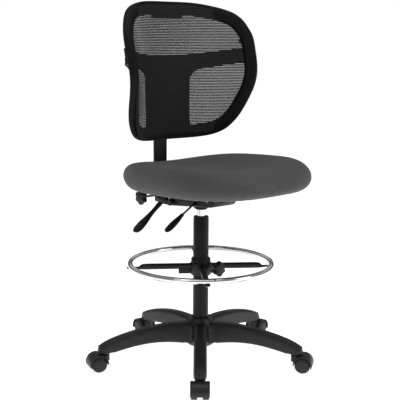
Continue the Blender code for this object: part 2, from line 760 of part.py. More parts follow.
def make_carrier(root, painted_steel, steel):
    """The bracket that tilts on the housing's pin and holds the J-bar."""
    pivot = make_empty("tilt_axis", TILT_AXIS, root)
    half_width, front, rear, foot, top = 0.046, 0.112, 0.184, 0.5265, 0.5680
    slot_front = 0.1165
    tail_mesh = block("tilt_carrier", (-half_width, front, foot), (half_width, rear, top))
    lug_mesh = block("carrier_lug", (-0.036, 0.0855, 0.5385), (0.036, 0.1125, 0.5605))
    bar_half = BAR_HALF_WIDTH + RUNNING_FIT
    bar_low = BAR_LEG_HEIGHT - BAR_THICKNESS / 2 - RUNNING_FIT
    bar_high = BAR_LEG_HEIGHT + BAR_THICKNESS / 2 + RUNNING_FIT
    slot_mesh = block("carrier_slot", (-bar_half, slot_front, bar_low), (bar_half, 0.20, bar_high))
    tray_mesh = block("carrier_tray", (-0.042, slot_front, 0.559), (0.042, 0.1815, 0.580))
    pin_hole = turned("carrier_pin_hole", [(0.0043, -0.06), (0.0043, 0.06)], 12)
    stud_hole_radius = STUD_RADIUS + GAP
    stud_hole = turned("carrier_stud_hole", [(stud_hole_radius, -0.060), (stud_hole_radius, -0.020)], 12)
    pin_profile = [(0.0040, -0.0530), (0.0040, 0.0510), (0.0070, 0.0510), (0.0070, 0.0565)]
    pin_mesh = turned("tilt_pin", pin_profile, 12)

    from_pivot = Matrix.Translation(-Vector(TILT_AXIS))
    tail = make_part("tilt_carrier", tail_mesh, painted_steel, pivot)
    lug = helper("carrier_lug", lug_mesh, pivot)
    tail.matrix_parent_inverse = from_pivot
    lug.matrix_parent_inverse = from_pivot
    sideways = (0.0, math.radians(90.0), 0.0)
    cuts = [
        helper("carrier_slot", slot_mesh, root),
        helper("carrier_tray", tray_mesh, root),
        helper("carrier_pin_hole", pin_hole, root, TILT_AXIS, sideways),
        helper("carrier_stud_hole", stud_hole, root, (0.0, *DEPTH_CLAMP), sideways),
    ]
    combine(tail, "UNION", [lug])
    combine(tail, "DIFFERENCE", cuts)
    make_part("tilt_pin", pin_mesh, steel, pivot, rotation=sideways)


# ---- J-bar --------------------------------------------------------------------


def make_j_bar(root, painted_steel):
    """A flat bar along Y under the seat, bent up behind it."""
    half = BAR_THICKNESS / 2
    bend = (BAR_POST_Y - BAR_BEND_RADIUS, BAR_LEG_HEIGHT + BAR_BEND_RADIUS)
    outer = arc(bend, BAR_BEND_RADIUS + half, -90.0, 0.0, 8)
    inner = arc(bend, BAR_BEND_RADIUS - half, 0.0, -90.0, 8)
    outline = [(BAR_LEG_FRONT, BAR_LEG_HEIGHT - half), *outer]
    outline += [(BAR_POST_Y + half, BAR_TOP), (BAR_POST_Y - half, BAR_TOP)]
    outline += [*inner, (BAR_LEG_FRONT, BAR_LEG_HEIGHT + half)]
    bar = make_part("j_bar", prism("j_bar", outline, -BAR_HALF_WIDTH, BAR_HALF_WIDTH, "X"), painted_steel, root)
    bevel(bar, 0.0012)


# ---- seat ---------------------------------------------------------------------


def seat_outline(inset, steps):
    """The seat's rounded outline, a little narrower behind, moved in by a distance."""
    outline = []
    for u, v in superellipse(1.0, 1.0, SEAT_SQUARENESS, steps):
        outline.append((u * (SEAT_HALF_WIDTH - inset) * (1.0 - 0.03 * v), v * (SEAT_HALF_DEPTH - inset)))
    return outline


def make_board(root, wood):
    foot = PLATE_THICKNESS + 2 * GAP
    outline = [(x, y + SEAT_CENTRE_Y) for x, y in seat_outline(BOARD_INSET, 28)]
    mesh = prism("seat_board", outline, foot, foot + BOARD_THICKNESS, "Z")
    make_part("seat_board", mesh, wood, root, (0.0, 0.0, HOUSING_TOP), (-SEAT_SLOPE, 0.0, 0.0))


def saddle(x, y):
    """What the saddle adds to the cushion's top: bolsters at the sides, a dish, a falling front."""
    across, along = x / SEAT_HALF_WIDTH, y / SEAT_HALF_DEPTH
    rise = SEAT_BOLSTER * across**2 - 0.006 * (1.0 - across**2) * (1.0 - along**2)
    return rise - SEAT_FRONT_FALL * max(0.0, -along) ** 3


def make_cushion(root, fabric):
    """The foam in its cover. A pocket in its underside takes the board."""
    rim_foot = PLATE_THICKNESS + 0.0025
    pocket_top = PLATE_THICKNESS + 3 * GAP + BOARD_THICKNESS
    pocket_level = (pocket_top - rim_foot) / SEAT_THICKNESS
    pocket_inset = BOARD_INSET - 0.001

    # Each row is the outline's inset, its level through the thickness and its share of the saddle.
    rows = [(pocket_inset, pocket_level, 0.0), (pocket_inset, 0.0, 0.0)]
    for degrees in range(-90, 91, 30):
        angle = math.radians(degrees)
        level = 0.5 * (1.0 + math.sin(angle))
        rows.append((SEAT_EDGE_RADIUS * (1.0 - math.cos(angle)), level, level))
    rows += [(inset, 1.0, 1.0) for inset in (0.085, 0.130, 0.190)]
    sections = []
    for inset, level, share in rows:
        section = []
        for x, y in seat_outline(inset, 36):
            height = rim_foot + SEAT_THICKNESS * level + share * saddle(x, y)
            section.append((x, y + SEAT_CENTRE_Y, height))
        sections.append(section)
    mesh = loft("seat_cushion", sections)
    make_part("seat_cushion", mesh, fabric, root, (0.0, 0.0, HOUSING_TOP), (-SEAT_SLOPE, 0.0, 0.0))


# ---- back ---------------------------------------------------------------------


def on_back(x, z, depth=0.0):
    """A point of the back's surface, moved along its rearward normal by a depth."""
    step = 0.001

    def surface(u, w):
        return Vector((u, back_centre(w) - back_wrap(w) * u * u, w))

    across = surface(x + step, z) - surface(x - step, z)
    upward = surface(x, z + step) - surface(x, z - step)
    normal = upward.cross(across).normalized()
    return surface(x, z) + normal * depth


def bent_plate(name, outline, near, far, spacing):
    """A flat outline of (x, z), cut into strips and laid on the back's surface between two depths."""
    shape = bmesh.new()
    rim = [shape.verts.new((x, near, z)) for x, z in outline]
    face = shape.faces.new(rim)
    for axis in (0, 2):
        values = [point[axis // 2] for point in outline]
        count = math.floor((max(values) - min(values)) / spacing)
        for k in range(1, count + 1):
            place = min(values) + (max(values) - min(values)) * k / (count + 1)
            point, normal = Vector((0.0, 0.0, 0.0)), Vector((0.0, 0.0, 0.0))
            point[axis] = place
            normal[axis] = 1.0
            whole = [*shape.verts, *shape.edges, *shape.faces]
            bmesh.ops.bisect_plane(shape, geom=whole, dist=1e-6, plane_co=point, plane_no=normal)
    sheet = bmesh.ops.extrude_face_region(shape, geom=list(shape.faces), use_keep_orig=True)
    for element in sheet["geom"]:
        if isinstance(element, bmesh.types.BMVert):
            element.co.y = far
    for vert in shape.verts:
        vert.co = on_back(vert.co.x, vert.co.z, vert.co.y)
    bmesh.ops.triangulate(shape, faces=shape.faces)
    return mesh_from(name, shape)


def back_half_outline(inset, per_span):
    """Half the back's outline, from its top to its foot, moved in by a distance along its surface."""
    half = smooth_through(BACK_OUTLINE, per_span)
    moved = []
    for i, point in enumerate(half):
        ahead = half[min(i + 1, len(half) - 1)]
        behind = half[max(i - 1, 0)]
        tangent = (ahead - behind).normalized()
        if i in (0, len(half) - 1):
            tangent = Vector((1.0 if i == 0 else -1.0, 0.0))
        inward = Vector((tangent.y, -tangent.x))
        lean = 2.0 * back_wrap(point.y) * point.x * inward.x
        moved.append(point + inward * (inset / math.hypot(1.0, lean)))
    return moved


def mirrored(half):
    return [*half, *[Vector((-p.x, p.y)) for p in reversed(half[1:-1])]]


def make_frame(root, plastic):
    """The band round the mesh, an oval section swept along the back's outline."""
    path = mirrored(back_half_outline(BACK_BAND, 3))
    count = len(path)
    sections = []
    for i, point in enumerate(path):
        before, after = path[i - 1], path[(i + 1) % count]
        tangent = on_back(after.x, after.y) - on_back(before.x, before.y)
        rearward = (on_back(point.x, point.y, 0.01) - on_back(point.x, point.y)).normalized()
        across = tangent.cross(rearward).normalized()
        centre = on_back(point.x, point.y)
        section = []
        for u, v in superellipse(BACK_BAND, BACK_FRAME_HALF_THICKNESS, 3.2, 10):
            section.append(centre + across * u + rearward * v)
        sections.append(section)
    make_part("back_frame", loft("back_frame", sections, ring=True), plastic, root)


def make_mesh_sheet(root, net):
    far = -BACK_FRAME_HALF_THICKNESS - BACK_LAYER_GAP
    near = far - 0.0012
    outline = mirrored(back_half_outline(0.5 * BACK_BAND, 2))
    make_part("back_mesh", bent_plate("back_mesh", outline, near, far, 0.035), net, root)


def make_panel(root, plastic):
    """The T-shaped lumbar panel behind the mesh: a bar from side to side on a wide stem."""
    near = BACK_FRAME_HALF_THICKNESS + BACK_LAYER_GAP
    far = near + 0.005
    corner = arc((PANEL_HALF_WIDTH + 0.044, 0.918), 0.044, 100.0, 180.0, 4)
    half = [(0.0, 1.004), (0.115, 1.011), (0.243, 1.032), (0.238, 0.986), (0.180, 0.973), *corner]
    half += [(PANEL_HALF_WIDTH, 0.800), (PANEL_HALF_WIDTH + 0.010, 0.760), (0.0, 0.754)]
    outline = mirrored([Vector(p) for p in half])
    make_part("back_panel", bent_plate("back_panel", outline, near, far, 0.045), plastic, root)


def make_bracket(root, plastic):
    """The sleeve behind the panel that slides on the J-bar's post."""
    front, rear, low, high, half_width = 0.1916, 0.238, 0.845, 0.999, 0.045
    slot_half = BAR_HALF_WIDTH + RUNNING_FIT
    slot_rear = BAR_POST_Y + BAR_THICKNESS / 2 + RUNNING_FIT
    sleeve = block("back_bracket", (-half_width, front, low), (half_width, rear, high))
    bracket = make_part("back_bracket", sleeve, plastic, root)
    slot = block("bracket_slot", (-slot_half, front - 0.010, low - 0.01), (slot_half, slot_rear, high + 0.01))
    stud_hole = turned("bracket_stud_hole", [(STUD_RADIUS + GAP, -0.060), (STUD_RADIUS + GAP, -0.020)], 12)
    bevel(bracket, 0.006, 2)
    cuts = [
        helper("bracket_slot", slot, root),
        helper("bracket_stud_hole", stud_hole, root, (0.0, *HEIGHT_CLAMP), (0.0, math.radians(90.0), 0.0)),
    ]
    combine(bracket, "DIFFERENCE", cuts)


# ---- assembly -----------------------------------------------------------------


def main():
    clear_scene()
    nylon = make_material("base_nylon", (0.022, 0.022, 0.023), 0.42)
    black_plastic = make_material("black_plastic", (0.016, 0.016, 0.017), 0.38)
    black_paint = make_material("black_paint", (0.012, 0.012, 0.013), 0.33)
    chrome = make_material("chrome", (0.78, 0.78, 0.79), 0.10, 1.0)
    steel = make_material("zinc_steel", (0.45, 0.45, 0.46), 0.32, 1.0)
    fabric = make_material("grey_fabric", (0.070, 0.070, 0.073), 0.95)
    net = make_material("black_net", (0.015, 0.015, 0.016), 0.80)
    plywood = make_material("plywood", (0.45, 0.32, 0.19), 0.70)

    root = make_empty("chair", (AXIS_X, AXIS_Y, -DATUM))
    knob = knob_mesh()
    make_base(root, nylon)
    make_casters(root, nylon, steel)
    make_gas_lift(root, black_plastic, black_paint, chrome, steel)
    make_foot_ring(root, black_plastic, chrome, steel, knob)
    make_housing(root, black_paint)
    make_seat_plate(root, black_paint)
    make_height_lever(root, black_plastic, black_paint)
    make_back_lever(root, black_plastic, steel)
    make_carrier(root, black_paint, steel)
    make_j_bar(root, black_paint)
    make_board(root, plywood)
    make_cushion(root, fabric)
    make_frame(root, black_plastic)
    make_mesh_sheet(root, net)
    make_panel(root, black_plastic)
    make_bracket(root, black_plastic)
    clamp_turn = (0.0, math.radians(-90.0), 0.0)
    stud_start = BAR_HALF_WIDTH + 0.0012
    depth = make_empty("depth_clamp_place", (0.0, *DEPTH_CLAMP), root)
    make_clamp("depth_clamp", knob, depth, stud_start, -DEPTH_KNOB_X, black_plastic, steel, clamp_turn)
    height = make_empty("height_clamp_place", (0.0, *HEIGHT_CLAMP), root)
    make_clamp("height_clamp", knob, height, stud_start, -HEIGHT_KNOB_X, black_plastic, steel, clamp_turn)


main()
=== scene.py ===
"""Drafting chair, the detailed model: every visible piece and its material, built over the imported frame.

Metres, +Z up. The sitter faces -Y and +X is the sitter's left. Shapes are written from the
column's axis, and their heights from a datum plane DATUM below the floor. Each is moved to its
place in the row frame at the end. Only the casters' own shapes have their heights from the floor.
"""

import json
import math

import bmesh
import bpy
from mathutils import Matrix, Vector, noise


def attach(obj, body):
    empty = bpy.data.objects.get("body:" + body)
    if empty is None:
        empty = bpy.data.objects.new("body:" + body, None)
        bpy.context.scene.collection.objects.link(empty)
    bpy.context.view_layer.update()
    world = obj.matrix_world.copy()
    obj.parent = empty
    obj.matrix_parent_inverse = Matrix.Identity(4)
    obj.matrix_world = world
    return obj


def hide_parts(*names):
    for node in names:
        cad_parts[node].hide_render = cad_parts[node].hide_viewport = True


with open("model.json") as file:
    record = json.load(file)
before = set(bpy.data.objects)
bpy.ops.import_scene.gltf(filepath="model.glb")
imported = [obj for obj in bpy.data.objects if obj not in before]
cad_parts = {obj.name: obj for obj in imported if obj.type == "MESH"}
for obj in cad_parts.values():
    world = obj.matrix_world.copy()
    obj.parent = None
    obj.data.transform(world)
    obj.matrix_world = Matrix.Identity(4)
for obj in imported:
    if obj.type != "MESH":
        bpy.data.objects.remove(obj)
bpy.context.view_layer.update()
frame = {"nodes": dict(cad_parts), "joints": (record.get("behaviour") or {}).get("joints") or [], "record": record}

JOINTS = {joint["name"]: joint for joint in frame["joints"]}
BODIES = {node: body for body, nodes in frame["record"]["behaviour"]["bodies"].items() for node in nodes}
DATUM = 0.018  # depth under the floor of the plane that heights above the casters count from
AXIS = Vector((*JOINTS["seat_swivel"]["pos_m"][:2], -DATUM))
GAP = 0.0003
QUARTER = math.radians(90.0)


# ---- node materials -----------------------------------------------------------


class Nodes:
    """A material's node tree, with short calls for the nodes used here."""

    def __init__(self, name):
        self.material = bpy.data.materials.new(name)
        self.material.use_nodes = True
        self.tree = self.material.node_tree
        self.shader = self.tree.nodes["Principled BSDF"]
        self.where = self.tree.nodes.new("ShaderNodeTexCoord")

    def add(self, kind, **settings):
        node = self.tree.nodes.new(kind)
        for key, value in settings.items():
            setattr(node, key, value)
        return node

    def link(self, start, end):
        self.tree.links.new(start, end)

    def scaled(self, scale, source="Object", turn=(0.0, 0.0, 0.0)):
        mapping = self.add("ShaderNodeMapping")
        mapping.inputs["Scale"].default_value = scale
        mapping.inputs["Rotation"].default_value = turn
        self.link(self.where.outputs[source], mapping.inputs["Vector"])
        return mapping.outputs["Vector"]

    def noise(self, scale, detail=3.0, roughness=0.5, vector=None):
        texture = self.add("ShaderNodeTexNoise")
        texture.inputs["Scale"].default_value = scale
        texture.inputs["Detail"].default_value = detail
        texture.inputs["Roughness"].default_value = roughness
        self.link(vector or self.where.outputs["Object"], texture.inputs["Vector"])
        return texture.outputs["Fac"]

    def math(self, operation, a, b=None, c=None, clamp=False):
        node = self.add("ShaderNodeMath", operation=operation, use_clamp=clamp)
        for socket, value in zip(node.inputs, (a, b, c)):
            if value is None:
                continue
            if isinstance(value, (int, float)):
                socket.default_value = value
            else:
                self.link(value, socket)
        return node.outputs[0]

    def span(self, value, low, high, to_low, to_high):
        node = self.add("ShaderNodeMapRange", clamp=True)
        self.link(value, node.inputs["Value"])
        for key, number in zip(("From Min", "From Max", "To Min", "To Max"), (low, high, to_low, to_high)):
            node.inputs[key].default_value = number
        return node.outputs["Result"]

    def mix(self, factor, first, second):
        node = self.add("ShaderNodeMix", data_type="RGBA")
        self.link(factor, node.inputs[0])
        for socket, colour in ((node.inputs[6], first), (node.inputs[7], second)):
            if isinstance(colour, tuple):
                socket.default_value = (*colour, 1.0)
            else:
                self.link(colour, socket)
        return node.outputs[2]

    def bump(self, height, distance, strength=1.0, normal=None):
        node = self.add("ShaderNodeBump")
        node.inputs["Strength"].default_value = strength
        node.inputs["Distance"].default_value = distance
        self.link(height, node.inputs["Height"])
        if normal:
            self.link(normal, node.inputs["Normal"])
        return node.outputs["Normal"]

    def finish(self, colour=None, roughness=None, normal=None, alpha=None, **fixed):
        for key, value in fixed.items():
            self.shader.inputs[key.replace("_", " ")].default_value = value
        for key, socket in (("Base Color", colour), ("Roughness", roughness), ("Normal", normal),
            ("Alpha", alpha)):
            if socket is not None:
                self.link(socket, self.shader.inputs[key])
        return self.material


def shades(colour, spread):
    """Two shades of a colour, darker and lighter."""
    return tuple(c * (1.0 - spread) for c in colour), tuple(c * (1.0 + spread) for c in colour)


def moulded(name, colour, gloss, grain_mm, grain_depth, scuffs=0.0, specular=0.5):
    """Injection-moulded plastic: fine grain, cloudy shade, dust in patches and worn, smoother edges."""
    n = Nodes(name)
    cloud = n.noise(9.0, 4.0, 0.6)
    dark, light = shades(colour, 0.22)
    base = n.mix(n.span(cloud, 0.3, 0.7, 0.0, 1.0), dark, light)
    dust = n.span(n.noise(55.0, 6.0, 0.7), 0.60, 0.80, 0.0, 0.35)
    base = n.mix(dust, base, tuple(c + 0.012 for c in colour))
    edge = n.span(n.add("ShaderNodeNewGeometry").outputs["Pointiness"], 0.53, 0.62, 0.0, scuffs)
    worn = n.math("MULTIPLY", edge, n.span(n.noise(140.0, 4.0, 0.7), 0.40, 0.62, 0.0, 1.0))
    base = n.mix(worn, base, tuple(c * 1.6 + 0.02 for c in colour))
    grain = n.noise(1000.0 / grain_mm, 2.0, 0.55)
    waves = n.noise(60.0, 2.0, 0.5)
    normal = n.bump(grain, grain_depth, 0.6, n.bump(waves, 0.0006, 0.25))
    rough = n.math("ADD", n.span(cloud, 0.25, 0.75, gloss - 0.05, gloss + 0.06),
        n.span(grain, 0.3, 0.7, -0.03, 0.03))
    return n.finish(base, rough, normal, Specular_IOR_Level=specular)


def painted(name, colour, gloss, specular=0.5):
    """Powder-coated steel: orange peel, faint specks and a few dull rubs."""
    n = Nodes(name)
    peel = n.noise(420.0, 2.0, 0.5)
    cloud = n.noise(14.0, 4.0, 0.6)
    dark, light = shades(colour, 0.18)
    speck = n.span(n.noise(900.0, 1.0, 0.5), 0.68, 0.74, 0.0, 0.4)
    base = n.mix(speck, n.mix(cloud, dark, light), tuple(c + 0.03 for c in colour))
    rub = n.span(n.noise(30.0, 5.0, 0.7, n.scaled((1.0, 1.0, 0.25))), 0.52, 0.72, 0.0, 0.14)
    rough = n.math("ADD", rub, n.span(peel, 0.3, 0.7, gloss - 0.02, gloss + 0.03))
    return n.finish(base, rough, n.bump(peel, 0.00025, 0.5), Specular_IOR_Level=specular)


def plated(name, colour, gloss, haze, drawn=(1.0, 1.0, 1.0)):
    """Plated steel: a mirror with faint smears, fine polishing lines and pin marks."""
    n = Nodes(name)
    smear = n.noise(22.0, 5.0, 0.65)
    lines = n.noise(350.0, 3.0, 0.6, n.scaled(drawn))
    dark, light = shades(colour, 0.06)
    base = n.mix(n.span(smear, 0.3, 0.7, 0.0, 1.0), dark, light)
    pits = n.span(n.noise(1100.0, 1.0, 0.5), 0.70, 0.76, 0.0, 0.12)
    rough = n.math("ADD", n.span(smear, 0.35, 0.75, gloss, gloss + haze), pits)
    return n.finish(base, rough, n.bump(lines, 0.00006, 0.35), Metallic=1.0)


def weave_height(n, pitch):
    """(height, which yarn is on top) of a plain weave over the metre-scaled UVs."""
    split = n.add("ShaderNodeSeparateXYZ")
    n.link(n.where.outputs["UV"], split.inputs[0])
    wobble = n.noise(160.0, 2.0, 0.5)
    profiles, cells = [], []
    for axis in (0, 1):
        bent = n.math("MULTIPLY_ADD", wobble, 0.35, n.math("DIVIDE", split.outputs[axis], pitch))
        cells.append(n.math("FLOOR", bent))
        profiles.append(n.math("SINE", n.math("MULTIPLY", n.math("FRACT", bent), math.pi)))
    over = n.math("PINGPONG", n.math("ADD", *cells), 1.0)
    rise = [n.math("MULTIPLY", a, n.math("MULTIPLY_ADD", b, 0.45, 0.55)) for a, b in (profiles, profiles[::-1])]
    under = n.math("SUBTRACT", 1.0, over)
    height = n.math("ADD", n.math("MULTIPLY", rise[0], over), n.math("MULTIPLY", rise[1], under))
    return height, over


def woven(name, colour, pitch):
    """Heathered upholstery weave with a fine nap."""
    n = Nodes(name)
    height, over = weave_height(n, pitch)
    dark, light = shades(colour, 0.20)
    heather = n.noise(700.0, 3.0, 0.7, n.scaled((1.0, 0.25, 1.0), "UV"))
    base = n.mix(n.span(heather, 0.35, 0.65, 0.0, 1.0), dark, light)
    base = n.mix(n.math("MULTIPLY", over, 0.18), base, tuple(c * 1.25 for c in colour))
    # Painted shade: the colour darkens where the weave is low, in the hollows between the yarns.
    base = n.mix(n.span(height, 0.05, 0.55, 0.45, 0.0), base, tuple(c * 0.45 for c in colour))
    worn = n.span(n.noise(7.0, 4.0, 0.6), 0.35, 0.70, 0.0, 0.16)
    base = n.mix(worn, base, tuple(c * 1.25 for c in colour))
    fuzz = n.noise(2600.0, 2.0, 0.7)
    normal = n.bump(fuzz, 0.0002, 0.25, n.bump(height, 0.00045, 0.55))
    rough = n.span(heather, 0.3, 0.7, 0.86, 0.97)
    settings = {"Sheen_Weight": 0.16, "Sheen_Roughness": 0.55, "Specular_IOR_Level": 0.2}
    return n.finish(base, rough, normal, **settings)


def netted(name, colour):
    """Spacer net: rows of long holes between knitted ribs. The holes let the light through."""
    n = Nodes(name)
    split = n.add("ShaderNodeSeparateXYZ")
    n.link(n.where.outputs["UV"], split.inputs[0])
    drift = n.math("MULTIPLY", n.math("SUBTRACT", n.noise(18.0, 2.0, 0.5), 0.5), 0.06)
    row = n.math("ADD", n.math("DIVIDE", split.outputs[1], NET_ROW), drift)
    shift = n.math("MULTIPLY", n.math("PINGPONG", n.math("FLOOR", row), 1.0), 0.5)
    column = n.math("ADD", n.math("DIVIDE", split.outputs[0], NET_COLUMN), shift)
    up = n.math("ABSOLUTE", n.math("SUBTRACT", n.math("FRACT", row), 0.5))
    across = n.math("ABSOLUTE", n.math("SUBTRACT", n.math("FRACT", column), 0.5))
    radial = n.math("ADD", n.math("POWER", n.math("DIVIDE", up, 0.5 * NET_HOLE[1]), 2.4),
                    n.math("POWER", n.math("DIVIDE", across, 0.5 * NET_HOLE[0]), 2.4))
    solid = n.span(radial, 0.80, 1.15, 0.0, 1.0)
    yarn = n.noise(1500.0, 3.0, 0.6, n.scaled((1.0, 0.3, 1.0), "UV"))
    dark, light = shades(colour, 0.30)
    base = n.mix(n.span(yarn, 0.3, 0.7, 0.0, 1.0), dark, light)
    rib = n.span(up, 0.18, 0.5, 0.0, 1.0)
    # Painted highlight and shade: each rib is lighter along its rounded middle and darker where it turns down into
    # the holes.
    base = n.mix(n.math("MULTIPLY", rib, 0.5), base, tuple(c * 1.7 for c in colour))
    normal = n.bump(n.math("ADD", rib, n.math("MULTIPLY", yarn, 0.3)), 0.0006, 0.6)
    rough = n.span(yarn, 0.3, 0.7, 0.62, 0.80)
    return n.finish(base, rough, normal, solid, Specular_IOR_Level=0.3)


def felted(name, colour):
    """The dust cover under the seat: pressed fibres."""
    n = Nodes(name)
    fibre = n.noise(900.0, 6.0, 0.8, n.scaled((1.0, 0.35, 1.0), turn=(0.0, 0.0, 0.6)))
    cross = n.noise(900.0, 6.0, 0.8, n.scaled((0.35, 1.0, 1.0), turn=(0.0, 0.0, 0.4)))
    both = n.math("MULTIPLY", n.math("ADD", fibre, cross), 0.5)
    dark, light = shades(colour, 0.35)
    base = n.mix(n.span(both, 0.35, 0.65, 0.0, 1.0), dark, light)
    return n.finish(base, n.span(both, 0.3, 0.7, 0.85, 0.98), n.bump(both, 0.0004, 0.5), Specular_IOR_Level=0.2)


def plywood(name):
    n = Nodes(name)
    grain = n.noise(60.0, 6.0, 0.7, n.scaled((1.0, 0.06, 1.0)))
    plies = n.add("ShaderNodeTexWave", wave_type="BANDS", bands_direction="Z")
    plies.inputs["Scale"].default_value = 130.0
    plies.inputs["Distortion"].default_value = 1.5
    n.link(n.where.outputs["Object"], plies.inputs["Vector"])
    base = n.mix(n.span(grain, 0.3, 0.7, 0.0, 1.0), (0.40, 0.27, 0.15), (0.62, 0.47, 0.29))
    base = n.mix(n.math("MULTIPLY", plies.outputs["Fac"], 0.25), base, (0.30, 0.19, 0.10))
    return n.finish(base, n.span(grain, 0.3, 0.7, 0.55, 0.75), n.bump(grain, 0.0003, 0.4))


# ---- mesh helpers -------------------------------------------------------------


def heading(degrees):
    angle = math.radians(degrees)
    return Vector((math.sin(angle), -math.cos(angle), 0.0))


def along(degrees):
    """The turn about Z that brings local +X to a heading."""
    return Matrix.Rotation(math.radians(degrees - 90.0), 4, "Z")


def at(x, y, z):
    return Matrix.Translation(Vector((x, y, z)))


def arc(centre, radius, start, end, steps):
    angles = [math.radians(start + (end - start) * k / steps) for k in range(steps + 1)]
    return [(centre[0] + radius * math.cos(a), centre[1] + radius * math.sin(a)) for a in angles]


def circle(radius, height, steps, lobes=0, lobe=0.0):
    points = []
    for k in range(steps):
        a = 2.0 * math.pi * k / steps
        r = radius + lobe * math.cos(lobes * a)
        points.append(Vector((r * math.cos(a), r * math.sin(a), height)))
    return points


def superellipse(half_width, half_depth, power, steps):
    points = []
    for k in range(steps):
        c, s = math.cos(2.0 * math.pi * k / steps), math.sin(2.0 * math.pi * k / steps)
        x = math.copysign(abs(c) ** (2.0 / power), c) * half_width
        points.append((x, math.copysign(abs(s) ** (2.0 / power), s) * half_depth))
    return points


def catmull(points, per_span, closed=False):
    """A smooth curve through points of any dimension."""
    points = [Vector(p) for p in points]
    count = len(points)
    if closed:
        padded = [points[-1], *points, points[0], points[1]]
    else:
        padded = [2.0 * points[0] - points[1], *points, 2.0 * points[-1] - points[-2]]
    curve = []
    for i in range(1, count + 1 if closed else count):
        p0, p1, p2, p3 = padded[i - 1 : i + 3]
        for k in range(per_span):
            t = k / per_span
            bend = (2.0 * p0 - 5.0 * p1 + 4.0 * p2 - p3) * t * t
            curve.append(0.5 * (2.0 * p1 + (p2 - p0) * t + bend + (3.0 * p1 - p0 - 3.0 * p2 + p3) * t * t * t))
    if not closed:
        curve.append(points[-1])
    return curve


class Shape:
    """A mesh under construction, made of closed forms that may overlap, as moulded or welded ones do."""

    def __init__(self):
        self.mesh = bmesh.new()

    def loft(self, sections, ring=False, place=None, caps=True):
        move = place or Matrix.Identity(4)
        loops = [[self.mesh.verts.new(move @ Vector(point)) for point in section] for section in sections]
        faces = []
        for near, far in zip(loops, loops[1:] + loops[:1] if ring else loops[1:]):
            for i in range(len(near)):
                j = (i + 1) % len(near)
                faces.append(self.mesh.faces.new((near[i], near[j], far[j], far[i])))
        if caps and not ring:
            faces += [self.mesh.faces.new(loops[0]), self.mesh.faces.new(loops[-1])]
        bmesh.ops.recalc_face_normals(self.mesh, faces=faces)
        return faces

    def turned(self, profile, steps=48, ring=False, place=None, lobes=0, lobe=0.0):
        return self.loft([circle(r, z, steps, lobes, lobe) for r, z in profile], ring, place)

    def block(self, low, high, radius=0.0015, segments=3, place=None):
        """A box with rounded edges."""
        part = bmesh.new()
        bmesh.ops.create_cube(part, size=1.0)
        low, high = Vector(low), Vector(high)
        for vert in part.verts:
            vert.co = Vector(low[i] + (vert.co[i] + 0.5) * (high[i] - low[i]) for i in range(3))
        return self.rounded(part, radius, segments, place)

    def prism(self, outline, low, high, axis, radius=0.0, segments=2, place=None):
        """An outline extruded along X, where it holds (y, z), along Y (x, z) or Z (x, y)."""
        order = {"X": lambda u, v, w: (w, u, v), "Y": lambda u, v, w: (u, w, v), "Z": lambda u, v, w: (u, v, w)}
        part = bmesh.new()
        ends = [[part.verts.new(order[axis](u, v, w)) for u, v in outline] for w in (low, high)]
        for i in range(len(outline)):
            j = (i + 1) % len(outline)
            part.faces.new((ends[0][i], ends[0][j], ends[1][j], ends[1][i]))
        for end in ends:
            part.faces.new(end)
        bmesh.ops.recalc_face_normals(part, faces=part.faces)
        return self.rounded(part, radius, segments, place)

    def rounded(self, part, radius, segments, place):
        """Takes a finished part, rounds its sharp edges and adds it."""
        if radius:
            sharp = [e for e in part.edges if e.is_manifold and e.calc_face_angle(0.0) > math.radians(32.0)]
            bmesh.ops.bevel(
                part, geom=sharp, offset=radius, offset_type="OFFSET", segments=segments, profile=0.5,
                affect="EDGES", clamp_overlap=True,
            )
        if place:
            part.transform(place)
        holder = bpy.data.meshes.new("part")
        part.to_mesh(holder)
        part.free()
        self.mesh.from_mesh(holder)
        bpy.data.meshes.remove(holder)
        return self

    def tube(self, path, radius, steps=16, place=None):
        """A round bar through points. A radius may be one for each point."""
        points = [Vector(p) for p in path]
        radii = radius if isinstance(radius, (list, tuple)) else [radius] * len(points)
        sections = []
        for i, point in enumerate(points):
            ahead, behind = points[min(i + 1, len(points) - 1)], points[max(i - 1, 0)]
            turn = (ahead - behind).to_track_quat("Z", "Y").to_matrix()
            sections.append([point + turn @ p for p in circle(radii[i], 0.0, steps)])
        return self.loft(sections, place=place)

    def screw_head(self, place, radius=0.0055, height=0.0030):
        """A button head with a hexagon socket, standing on local z = 0."""
        dome = [(radius, 0.0), (radius, 0.3 * height), (0.85 * radius, 0.75 * height), (0.55 * radius, height)]
        socket = [Vector((0.38 * radius * math.cos(a), 0.38 * radius * math.sin(a), 0.0)) for a in
                  (math.radians(60.0 * (k // 4)) for k in range(24))]
        rows = [circle(r, z, 24) for r, z in dome]
        rows += [[p + Vector((0.0, 0.0, z)) for p in socket] for z in (height, 0.35 * height)]
        self.loft(rows, place=place)

    def make(self):
        mesh = bpy.data.meshes.new("shape")
        self.mesh.to_mesh(mesh)
        self.mesh.free()
        return mesh


def applied(obj):
    """The object's mesh with its modifiers applied. The object is removed."""
    graph = bpy.context.evaluated_depsgraph_get()
    graph.update()
    mesh = bpy.data.meshes.new_from_object(obj.evaluated_get(graph))
    bpy.data.objects.remove(obj, do_unlink=True)
    return mesh


def scratch(mesh):
    obj = bpy.data.objects.new("scratch", mesh)
    bpy.context.scene.collection.objects.link(obj)
    return obj


def blended(mesh, voxel, rounds):
    """Overlapping forms fused into one skin with soft fillets, as a moulding has."""
    obj = scratch(mesh)
    remesh = obj.modifiers.new("fuse", "REMESH")
    remesh.mode = "VOXEL"
    remesh.voxel_size = voxel
    smooth = obj.modifiers.new("fillet", "SMOOTH")
    smooth.factor = 0.5
    smooth.iterations = rounds
    return applied(obj)


